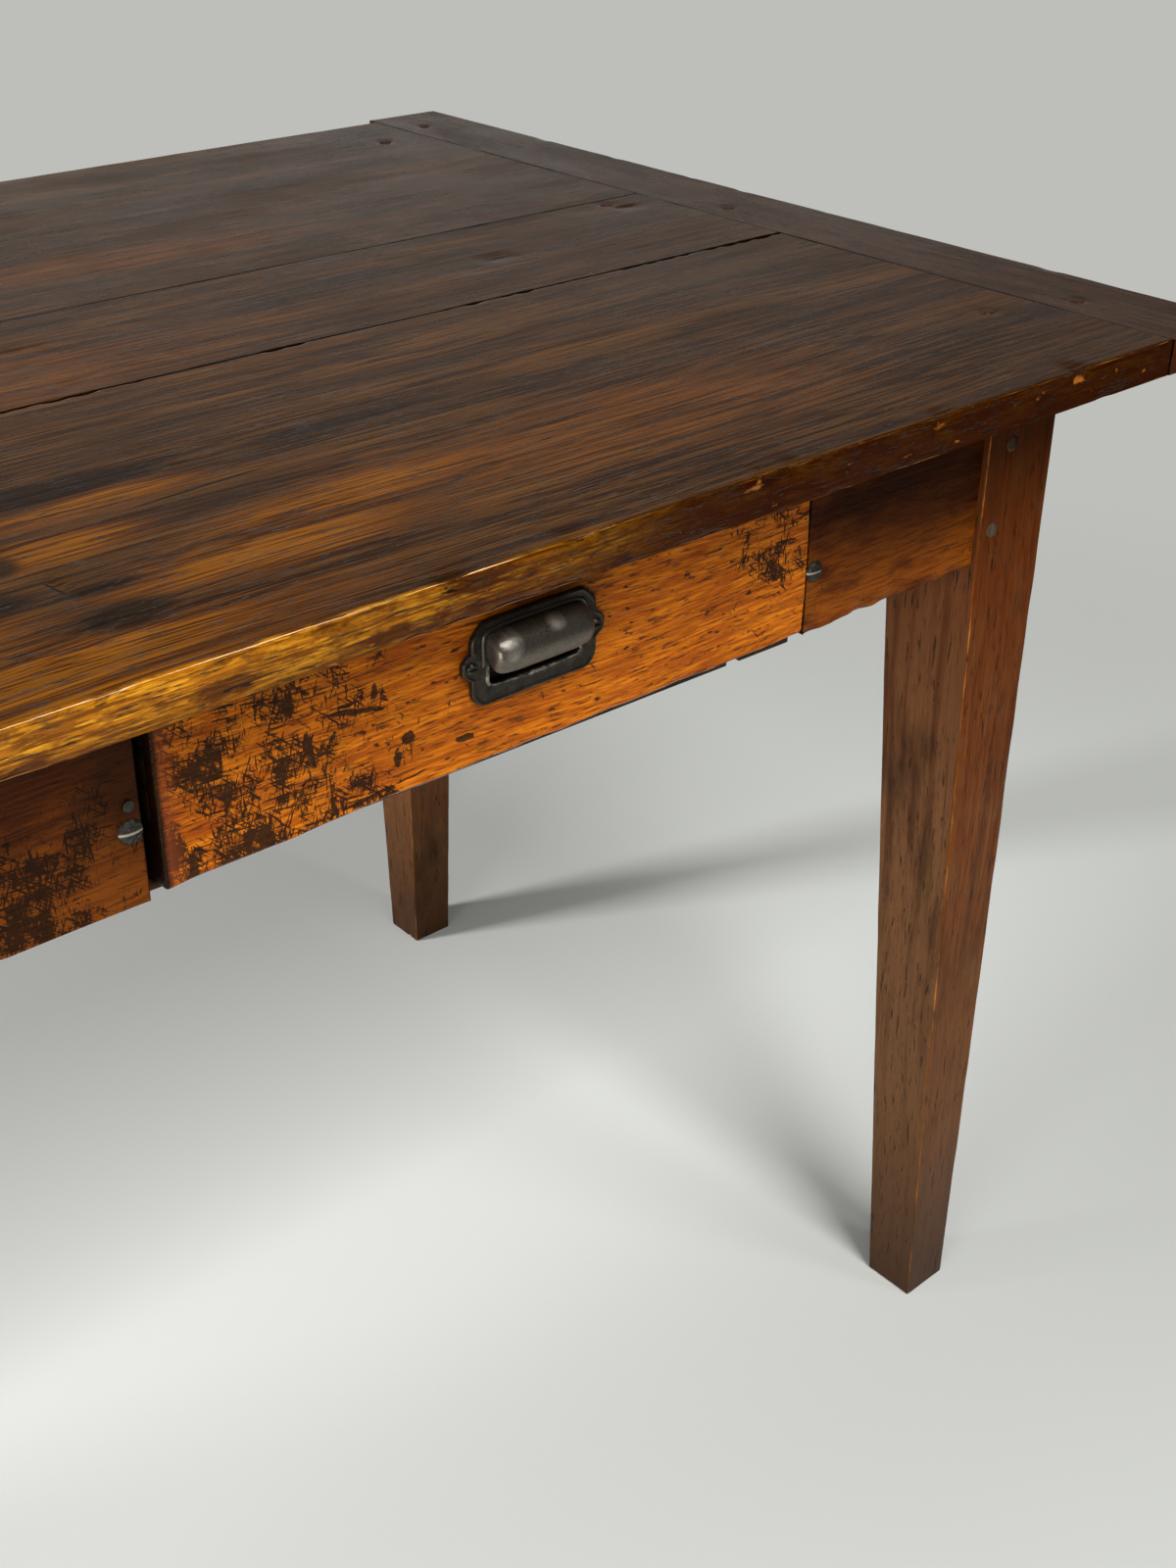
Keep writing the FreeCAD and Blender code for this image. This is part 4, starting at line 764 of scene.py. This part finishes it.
# How far old aprons and the drawer front are out of flat, in mm, then grain axis and seams of each apron
APRON_WAVE = 0.7
APRONS = {
    "apron_front_right": ("x", [X_LOW, X_HIGH]), "apron_front_left": ("x", [X_LOW, X_HIGH]),
    "apron_back": ("x", [X_LOW, X_HIGH]), "apron_end_right": ("y", [Y_LOW, Y_HIGH]),
    "apron_end_left": ("y", [Y_LOW, Y_HIGH]),
}
for number, (node, (axis, seams)) in enumerate(APRONS.items()):
    low, high = box_mm(node)
    step = (3.0, 6.0, 5.0) if axis == "x" else (6.0, 3.0, 5.0)
    knocks = chips(61 + number, 30, low, (high[0], low[1], low[2]), (9, 5, 3), 1.3)
    worn_board(node, "table", "apron_wood", "apron_" + axis, edge=1.8, step=step, seed=number + 21,
               wave=APRON_WAVE, dents=knocks, seams=[*seams, Z_HIGH])
low, high = box_mm("drawer_front")
knocks = chips(71, 12, low, (high[0], low[1], low[2]), (14, 5, 3), 0.7)
worn_board("drawer_front", "drawer", "drawer_front_wood", "drawer_front_wood", edge=4.0,
           step=(2.4, 5.0, 2.4), seed=31, wave=APRON_WAVE, dents=knocks, seams=[Z_HIGH])

# The slat's bevel and rise, and the ends in X and the depth of its notch, in mm
RAIL_BEVEL = 0.8
RAIL_RISE = 6.0
RAIL_NOTCH = (547.0, 558.0)
RAIL_NOTCH_DEPTH = 9.0


def rail_surface():
    """A bevelled four sided section carried along X, closed to a point at both ends.

    Its front steps back behind the aprons and at the notch, and its lower face rises a little to the left.
    """
    low, high = box_mm("drawer_rail")
    behind_y = box_mm("apron_front_left")[1][1]
    opening = (box_mm("apron_front_left")[1][0], box_mm("apron_front_right")[0][0])
    notch_y = low[1] + RAIL_NOTCH_DEPTH
    stops = [(low[0], behind_y), (opening[0], behind_y), (opening[0], low[1]), (RAIL_NOTCH[0], low[1]),
             (RAIL_NOTCH[0], notch_y), (RAIL_NOTCH[1], notch_y), (RAIL_NOTCH[1], low[1]),
             (opening[1], low[1]), (opening[1], behind_y), (high[0], behind_y)]
    x, front = np.array(stops).T
    under = low[2] + RAIL_RISE * (high[0] - x) / (high[0] - low[0])
    over, back = np.full(x.size, high[2]), np.full(x.size, high[1])
    section = [(front + RAIL_BEVEL, under), (front, under + RAIL_BEVEL), (front, over - RAIL_BEVEL),
               (front + RAIL_BEVEL, over), (back - RAIL_BEVEL, over), (back, over - RAIL_BEVEL),
               (back, under + RAIL_BEVEL), (back - RAIL_BEVEL, under)]
    points = np.stack([np.stack((x, y, z), axis=-1) for y, z in section], axis=1)
    tips = np.repeat(points[[0, -1]].mean(axis=1, keepdims=True), len(section), axis=1)
    points = np.concatenate((tips[:1], points, tips[1:]))
    return points.reshape(-1, 3), grid_quads(*points.shape[:2], closed=True)


rail_points, rail_quads = rail_surface()
new_piece("worn_drawer_rail", rail_points, rail_quads, "table", "apron_wood", MATERIALS["rail"],
          "drawer_rail")


# Pegs and screws

STICK_SIDES = 24
BREADBOARD_PEG_RADIUS = 4.5
PEG_RADIUS = 5.0


def sticks(places, axis, radius, low, high, seed):
    """Round sticks along an axis: a profile of radius against height, turned about each place.

    The end at low is flat, the end at high slightly domed, and two slow waves make each one uneven.
    """
    turn = np.linspace(0, 2 * math.pi, STICK_SIDES, endpoint=False)
    way = 1 if high > low else -1
    profile = np.array([
        (0.0, low), (0.96, low), (1.0, low + 0.4 * way), (1.0, high - 0.5 * way), (0.93, high - 0.18 * way),
        (0.7, high - 0.03 * way), (0.35, high), (0.0, high)])
    first, second = (axis + 1) % 3, (axis + 2) % 3
    points, quads = [], []
    for number, place in enumerate(places):
        uneven = 1 + 0.04 * np.sin(2 * turn + seed + number) + 0.02 * np.sin(5 * turn + 2 * number)
        ring = radius * profile[:, :1] * uneven
        stick = np.empty(ring.shape + (3,))
        stick[..., first] = place[first] + ring * np.cos(turn)
        stick[..., second] = place[second] + ring * np.sin(turn)
        stick[..., axis] = profile[:, 1:]
        faces = grid_quads(*ring.shape, closed=True)
        points.append(stick.reshape(-1, 3))
        quads.append(faces[:, ::-1] if way > 0 else faces)
    return joined_parts(zip(points, quads))


def joined_parts(parts):
    """Several shapes as one: their points in a row, and their quads counted on from one to the next."""
    points, quads, start = [], [], 0
    for some, faces in parts:
        points.append(some)
        quads.append(faces + start)
        start += len(some)
    return np.concatenate(points), np.concatenate(quads)


def peg_piece(name, node, groups):
    """All the pegs of one node in one mesh."""
    points, quads = joined_parts(sticks(*group) for group in groups)
    new_piece(name, points, quads, "table", "peg_wood", MATERIALS["peg_wood"], node)


breadboard_pegs = [(side * BREADBOARD_PEG_X, y, 0) for side in SIDES for y in BREADBOARD_PEG_YS]
peg_piece("round_breadboard_pegs", "breadboard_pegs",
          [(breadboard_pegs, 2, BREADBOARD_PEG_RADIUS, TOP_LOW_Z, TOP_Z, 1)])
top_pegs = [(side * TOP_PEG_X, y, 0) for side in SIDES for y in TOP_PEG_YS]
peg_piece("round_top_pegs", "top_pegs", [(top_pegs, 2, PEG_RADIUS, box_mm("top_pegs")[0][2], TOP_Z, 2)])
leg_low, leg_high = box_mm("leg_pegs")
leg_pegs = []
for z, x, ys in LEG_PEG_ROWS:
    for outer, inner in ((leg_low, leg_low + PEG_LENGTH), (leg_high, leg_high - PEG_LENGTH)):
        leg_pegs.append(([(side * x, 0, z) for side in SIDES], 1, PEG_RADIUS, inner[1], outer[1], 3))
        leg_pegs.append(([(0, y, z) for y in ys], 0, PEG_RADIUS, inner[0], outer[0], 5))
peg_piece("round_leg_pegs", "leg_pegs", leg_pegs)

SCREW_XS = (170.5, 602.5)
SCREW_Z = 657.5
SCREW_HEAD_RADIUS = 6.2
SCREW_SHANK_RADIUS = 2.4
SCREW_SUNK = 0.5
# The slot's half width as a share of the head's radius, its depth in mm, the grid's chords by it as shares
# of that half width, and the share that lies in the slot
SLOT_HALF = 0.13
SLOT_DEPTH = 1.0
SLOT_ROWS = np.array([-1.3, -1.0, -0.9, 0, 0.9, 1.0, 1.3])
SLOT_WALL = 0.95
# The first turn and the number of chords beside the slot, the points of a chord, and the dome's power
ROW_START = 0.25
ROW_COUNT = 14
ROW_POINTS = 33
DOME_POWER = 0.45


def slotted_head(centre_x, face_y, base_y):
    """A dome over a disc, drawn by level chords, with a slot pressed straight across, and a flat back."""
    arc = np.sin(np.linspace(ROW_START, QUARTER, ROW_COUNT))
    rows = np.concatenate((-arc[::-1], SLOT_HALF * SLOT_ROWS, arc))[:, None]
    across = np.sin(np.linspace(-QUARTER, QUARTER, ROW_POINTS)) * np.sqrt(1 - rows ** 2)
    dome = (1 - np.clip(across ** 2 + rows ** 2, 0, 1)) ** DOME_POWER * (base_y - face_y)
    cut = np.abs(rows) < SLOT_WALL * SLOT_HALF
    height = np.maximum(dome - SLOT_DEPTH * cut, 0)
    x = centre_x + SCREW_HEAD_RADIUS * across
    z = np.broadcast_to(SCREW_Z + SCREW_HEAD_RADIUS * rows, x.shape)
    front = np.stack((x, base_y - height, z), axis=-1).reshape(-1, 3)
    back = np.stack((x, np.full(x.shape, base_y), z), axis=-1).reshape(-1, 3)
    faces = grid_quads(*x.shape)
    return joined_parts(((front, faces[:, ::-1]), (back, faces)))


screw_face, screw_end = box_mm("guide_screws")[:, 1]
screw_base = box_mm("apron_front_left")[0][1] + SCREW_SUNK
heads = [slotted_head(x, screw_face, screw_base) for x in SCREW_XS]
shanks = sticks([(x, 0, SCREW_Z) for x in SCREW_XS], 1, SCREW_SHANK_RADIUS, screw_base, screw_end, 7)
screw_points, screw_quads = joined_parts((*heads, shanks))
slot_mark = (np.abs(screw_points[:, 2] - SCREW_Z) < SLOT_HALF * SCREW_HEAD_RADIUS) * 1.0
new_piece("domed_guide_screws", screw_points, screw_quads, "table", "screw_steel", MATERIALS["screw_steel"],
          "guide_screws", arris=slot_mark)


# Pull

PULL_LOW, PULL_HIGH = box_mm("drawer_pull")
PULL_X, PULL_BACK, PULL_Z = (PULL_LOW[0] + PULL_HIGH[0]) / 2, PULL_HIGH[1], (PULL_LOW[2] + PULL_HIGH[2]) / 2
# The plate, its ears and its window, measured from the plate's middle, in mm
PLATE_HALF_WIDTH, PLATE_HALF_HEIGHT = 40.0, 22.5
EAR_END, EAR_HALF_HEIGHT = PULL_HIGH[0] - PULL_X, 7.5
WINDOW_HALF_WIDTH, WINDOW_ABOVE, WINDOW_BELOW = 29.0, 12.0, 12.3
# Slanted walls: the turn of the first, and the distances of the upper and the lower two
PLATE_SLANT = (math.pi / 4, 38.5, 40.5)
EAR_SLANT = (math.atan2(5.5, 4.0), 29.6, 29.6)
# How sharp the corners are of the plate, its ears and its window
PLATE_POWER, EAR_POWER, WINDOW_POWER = 40, 60, 12
PLATE_TURNS = 720
# The hood's sizes in mm, where its arc starts and ends from straight up, and how square its ends are
HOOD_DEEP, HOOD_TALL, HOOD_HALF, HOOD_RISE, HOOD_WALL = 11.3, 12.4, 31.5, 4.7, 1.6
HOOD_ARC = (-0.05, 0.75 * math.pi)
HOOD_SQUARE = 6
# The share of the lip's roundness that goes back, and down
LIP_SLANT = 0.7
# Points along and across the hood and round its lip, then along and across the bead
HOOD_LENGTHS, HOOD_TURNS, LIP_TURNS = 97, 44, 9
BEAD_LENGTHS, BEAD_TURNS = 160, 12
# How far past the hood the bead lies and how high it stands, in mm, how far it runs on below the level, in
# radians, and its half width as a share of the hood's width and height
BEAD_PAST, BEAD_HEIGHT, BEAD_END = 1.2, 0.9, 0.38
BEAD_WIDE, BEAD_TALL = 0.035, 0.08
# Inset from the outline, and height, of the plate's rim; then the same from the window for its rolled edge
PLATE_RIM = ((0, 0), (0, 1.8), (0.25, 2.4), (0.8, 2.75), (1.6, 2.8), (2.3, 2.55), (3.2, 2.5))
PLATE_ROLL = ((3.4, 2.5), (2.4, 2.6), (1.6, 2.95), (0.8, 3.05), (0.2, 2.7), (0, 2.0), (0, 0))
PLATE_FACE = 2.5
# The rows of the rim that are rubbed bright, and the lumps of the rolled edge: cell, height in mm and seed
RIM_RIDGE = (2, 3)
LUMP_CELL, LUMP_HEIGHT, LUMP_SEED = 2.4, 0.35, 7


def rounded_outline(turn, width, above, below, power, slant=None):
    """The distance to a polygon along a ray at each turn, its corners rounded by a power mean of its walls.

    The walls are one on each side, one above and one below, and four slanted ones where a slant is given.
    """
    walls = [(0, width), (math.pi, width), (QUARTER, above), (-QUARTER, below)]
    if slant:
        angle, upper, lower = slant
        walls += [(angle, upper), (math.pi - angle, upper), (-angle, lower), (angle - math.pi, lower)]
    reach = sum((np.maximum(np.cos(turn - angle), 0) / far) ** power for angle, far in walls)
    return reach ** (-1 / power)


def pull_plate():
    """A ring: a profile with a bevelled rim and a rolled inner edge, carried from outline to window."""
    turn = np.linspace(0, 2 * math.pi, PLATE_TURNS, endpoint=False)
    plate = rounded_outline(
        turn, PLATE_HALF_WIDTH, PLATE_HALF_HEIGHT, PLATE_HALF_HEIGHT, PLATE_POWER, PLATE_SLANT)
    ears = rounded_outline(turn, EAR_END, EAR_HALF_HEIGHT, EAR_HALF_HEIGHT, EAR_POWER, EAR_SLANT)
    outer = np.maximum(plate, ears)
    window = rounded_outline(turn, WINDOW_HALF_WIDTH, WINDOW_ABOVE, WINDOW_BELOW, WINDOW_POWER)
    rim_inset, rim_height = np.array(PLATE_RIM).T[..., None]
    roll_inset, roll_height = np.array(PLATE_ROLL).T[..., None]
    far = np.vstack((outer - rim_inset, (outer + window) / 2, window + roll_inset))
    height = np.broadcast_to(np.vstack((rim_height, [[PLATE_FACE]], roll_height)), far.shape)
    row = np.broadcast_to(np.arange(len(far))[:, None], far.shape)
    points = np.stack((
        PULL_X + far * np.cos(turn), PULL_BACK - height, PULL_Z + far * np.sin(turn)), axis=-1)
    rolled = (row > len(PLATE_RIM) + 1) & (height > PLATE_FACE)
    lumps = lattice_noise(points.reshape(-1, 3), LUMP_CELL, LUMP_SEED).reshape(far.shape)
    points[..., 1] += LUMP_HEIGHT * lumps * rolled
    marks = rolled + 0.8 * np.isin(row, RIM_RIDGE)
    return points, marks, grid_quads(*far.shape, closed=True)[:, ::-1]


def squared_oval(turn):
    """The two places on an oval with squared ends, at each turn about its middle."""
    far = (np.abs(np.cos(turn)) ** HOOD_SQUARE + np.abs(np.sin(turn)) ** HOOD_SQUARE) ** (-1 / HOOD_SQUARE)
    return far * np.cos(turn), far * np.sin(turn)


def pull_hood():
    """A hood: an arc about the cup's axis, which shrinks along a squared oval to both ends.

    It runs over the outside, round a lip and back along the inside.
    """
    along, fall = squared_oval(np.linspace(math.pi, 0, HOOD_LENGTHS)[:, None])
    arc = np.linspace(*HOOD_ARC, HOOD_TURNS)
    lip = np.linspace(0, math.pi, LIP_TURNS)[1:-1]
    turn = np.concatenate((arc, np.full(lip.size, arc[-1]), arc[::-1]))
    inner = np.full(arc.size, HOOD_WALL)
    inset = np.concatenate((0 * inner, HOOD_WALL * (1 - np.cos(lip)) / 2, inner))
    past = np.concatenate((0 * inner, HOOD_WALL * np.sin(lip) / 2, 0 * inner))
    points = np.stack((
        PULL_X + along * (HOOD_HALF - inset),
        PULL_LOW[1] + HOOD_DEEP - (HOOD_DEEP - inset) * fall * np.sin(turn) + LIP_SLANT * past * fall,
        PULL_Z + HOOD_RISE + (HOOD_TALL - inset) * fall * np.cos(turn) - LIP_SLANT * past * fall), axis=-1)
    marks = np.broadcast_to((past > 0) * 0.9, points.shape[:2])
    return points, marks, grid_quads(*points.shape[:2])


def pull_bead():
    """A half round bead carried along a squared oval round the foot of the hood, open at its lower side."""
    turn = np.linspace(-BEAD_END, math.pi + BEAD_END, BEAD_LENGTHS)[:, None]
    across = np.linspace(0, 2 * math.pi, BEAD_TURNS, endpoint=False)
    wide, tall = squared_oval(turn)
    bead_y = PULL_BACK - PLATE_FACE - BEAD_HEIGHT * np.sin(across)
    points = np.stack((
        PULL_X + (HOOD_HALF + BEAD_PAST) * wide * (1 + BEAD_WIDE * np.cos(across)),
        np.broadcast_to(bead_y, (turn.size, across.size)),
        PULL_Z + HOOD_RISE + (HOOD_TALL + BEAD_PAST) * tall * (1 + BEAD_TALL * np.cos(across))), axis=-1)
    marks = np.broadcast_to(0.75 * np.clip(np.sin(across), 0, 1), points.shape[:2])
    return points, marks, grid_quads(*points.shape[:2], closed=True)


pull_parts = (pull_plate(), pull_hood(), pull_bead())
pull_points, pull_quads = joined_parts((shape.reshape(-1, 3), quads) for shape, marks, quads in pull_parts)
pull_arris = np.concatenate([marks.ravel() for shape, marks, quads in pull_parts])
# The share of the hood's shine that the plate, the hood and the bead have
hood_shares = (0.0, 1.0, 0.5)
hood_mark = np.concatenate([np.full(part[1].size, share) for part, share in zip(pull_parts, hood_shares)])
new_piece("cast_drawer_pull", pull_points, pull_quads, "drawer", "pull_iron", MATERIALS["pull_iron"],
          "drawer_pull", arris=pull_arris, hood=hood_mark)


# CAD nodes that keep their meshes

KEPT = {
    "drawer_guide_right": "inner_y", "drawer_guide_left": "inner_y", "drawer_runner_right": "inner_y",
    "drawer_runner_left": "inner_y", "drawer_stops": "inner_x", "guide_nail": "pull_iron",
    "drawer_side_right": "inner_y", "drawer_side_left": "inner_y", "drawer_back": "inner_x",
    "drawer_bottom": "inner_x", "pull_screws": "pull_iron",
}
for node, finish in KEPT.items():
    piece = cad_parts[node]
    piece.data.materials.clear()
    piece.data.materials.append(MATERIALS[finish])


# Stage

# The way to the dark side of the studio, which leaves the front faces without a pale reflection
DARK_SIDE = (0.66, -0.75, 0)
BACKDROP = "#bebfba"
# The floor's half width, its middle, and how far out its fade to even grey starts and ends, in m
FLOOR_REACH = 14.0
FLOOR_MIDDLE = (0.35, -0.3, 0)
FADE_START, FADE_END = 0.9, 2.2


def studio_floor():
    """A wide flat floor with pale matt paint.

    Far from the table it shows the backdrop's even grey to the camera and to reflections, and on the dark
    side a dark grey to reflections.
    """
    line = np.linspace(-FLOOR_REACH, FLOOR_REACH, 3)
    x, y = np.meshgrid(line, line, indexing="ij")
    mesh = bpy.data.meshes.new("studio_floor")
    points = np.stack((x, y, np.zeros(x.shape)), axis=-1).reshape(-1, 3)
    mesh.from_pydata(points.tolist(), [], grid_quads(3, 3).tolist())
    material, put = start_material("painted_studio_floor")
    paintwork = put("BsdfPrincipled", {
        "Base Color": linear("#d2d4d0"), "Roughness": 0.7, "Specular IOR Level": 0.2})
    facing = put("VectorMath", {0: put("TexCoord", out="Object"), 1: DARK_SIDE}, out="Value",
                 operation="DOT_PRODUCT")
    dark = put("MapRange", {"Value": facing, "From Min": 0.3, "From Max": 1.2,
                            "To Max": put("LightPath", out="Is Glossy Ray")})
    shown = put("Mix", {0: dark, 6: linear(BACKDROP), 7: linear("#2a2825")}, **COLOUR_MIX)
    glow = put("Emission", {"Color": shown})
    away = put("VectorMath", {0: put("TexCoord", out="Object"), 1: FLOOR_MIDDLE}, out="Value",
               operation="DISTANCE")
    far = put("MapRange", {"Value": away, "From Min": FADE_START, "From Max": FADE_END},
              interpolation_type="SMOOTHSTEP")
    seen = put("Math", {0: put("LightPath", out="Is Camera Ray"), 1: put("LightPath", out="Is Glossy Ray")},
               operation="MAXIMUM")
    share = put("Math", {0: far, 1: seen}, operation="MULTIPLY")
    put("OutputMaterial", {"Surface": put("MixShader", {0: share, 1: paintwork, 2: glow})})
    mesh.materials.append(material)
    floor = bpy.data.objects.new("studio_floor", mesh)
    bpy.context.scene.collection.objects.link(floor)


def lamp(name, place, target, size, power, mirrored):
    """A square soft light at a place, aimed at a target, which shows in reflections only if mirrored."""
    data = bpy.data.lights.new(name, "AREA")
    data.size = size
    data.energy = power
    light = bpy.data.objects.new(name, data)
    light.visible_glossy = mirrored
    aim = Vector(target) - Vector(place)
    light.matrix_world = Matrix.Translation(place) @ aim.to_track_quat("-Z", "Y").to_matrix().to_4x4()
    bpy.context.scene.collection.objects.link(light)


def soft_world():
    """Soft light from all round but the dark side, pale by the horizon and dark overhead.

    The camera sees the even grey of the backdrop instead.
    """
    world = bpy.data.worlds.new("soft_studio")
    bpy.context.scene.world = world
    world.use_nodes = True
    world.node_tree.nodes.clear()
    put = partial(add, world.node_tree)
    way = put("TexCoord", out="Generated")
    height = put("SeparateXYZ", {0: way}, out="Z")
    facing = put("VectorMath", {0: way, 1: DARK_SIDE}, out="Value", operation="DOT_PRODUCT")
    colour = paint(put, linear("#f0eeea"), [
        ("#aaa8a4", height, 0.1, 0.18, 1.0),
        ("#3a3836", height, 0.25, 0.35, 1.0),
        ("#201f1e", facing, -0.2, 0.6, 1.0),
    ])
    light = put("Background", {"Color": colour, "Strength": 0.74})
    backdrop = put("Background", {"Color": linear(BACKDROP)})
    shown = put("MixShader", {0: put("LightPath", out="Is Camera Ray"), 1: light, 2: backdrop})
    put("OutputWorld", {"Surface": shown})


# The photograph's camera, solved from the table's straight edges: its place in m, its turns in radians, and
# its sensor width and focal length in mm
CAMERA_PLACE = (-0.1558, -1.0022, 1.0966)
AZIMUTH, PITCH, ROLL = 0.726, 0.524, 0.011
SENSOR_WIDTH, FOCAL_LENGTH = 36.0, 44.48


def camera():
    """The photograph's camera: turned from the way of Y by its azimuth, pitched down, then rolled."""
    data = bpy.data.cameras.new("camera")
    data.sensor_width = SENSOR_WIDTH
    data.lens = FOCAL_LENGTH
    level = Vector((math.sin(AZIMUTH), math.cos(AZIMUTH), 0)) * math.cos(PITCH)
    forward = level - Vector((0, 0, math.sin(PITCH)))
    right = Vector((math.cos(AZIMUTH), -math.sin(AZIMUTH), 0))
    up = right.cross(forward)
    rolled_right = right * math.cos(ROLL) + up * math.sin(ROLL)
    rolled_up = up * math.cos(ROLL) - right * math.sin(ROLL)
    turn = Matrix((rolled_right, rolled_up, -forward)).transposed().to_4x4()
    eye = bpy.data.objects.new("camera", data)
    eye.matrix_world = Matrix.Translation(CAMERA_PLACE) @ turn
    bpy.context.scene.collection.objects.link(eye)
    bpy.context.scene.camera = eye


# Place, target and size in m and power in W of each light, and whether it shows in reflections
LAMPS = {
    "front_softbox": ((0.3, -1.9, 2.45), (0.3, -0.3, 0.3), 0.9, 69, True),
    "left_back_softbox": ((-5.1, 2.5, 3.2), (0.5, 0.0, 0.2), 1.2, 450, False),
    "left_softbox": ((-4.5, -2.1, 1.5), (0.5, -0.3, 0.5), 2.2, 125, False),
    "left_front_lamp": ((-0.95, -1.9, 0.5), (0.4, -0.36, 0.68), 0.6, 15, True),
    "high_right_lamp": ((1.2, -1.5, 2.4), (0.4, -0.3, 0.6), 0.3, 7, True),
}
studio_floor()
for name, settings in LAMPS.items():
    lamp(name, *settings)
soft_world()
camera()
bpy.context.scene.view_settings.view_transform = "Standard"
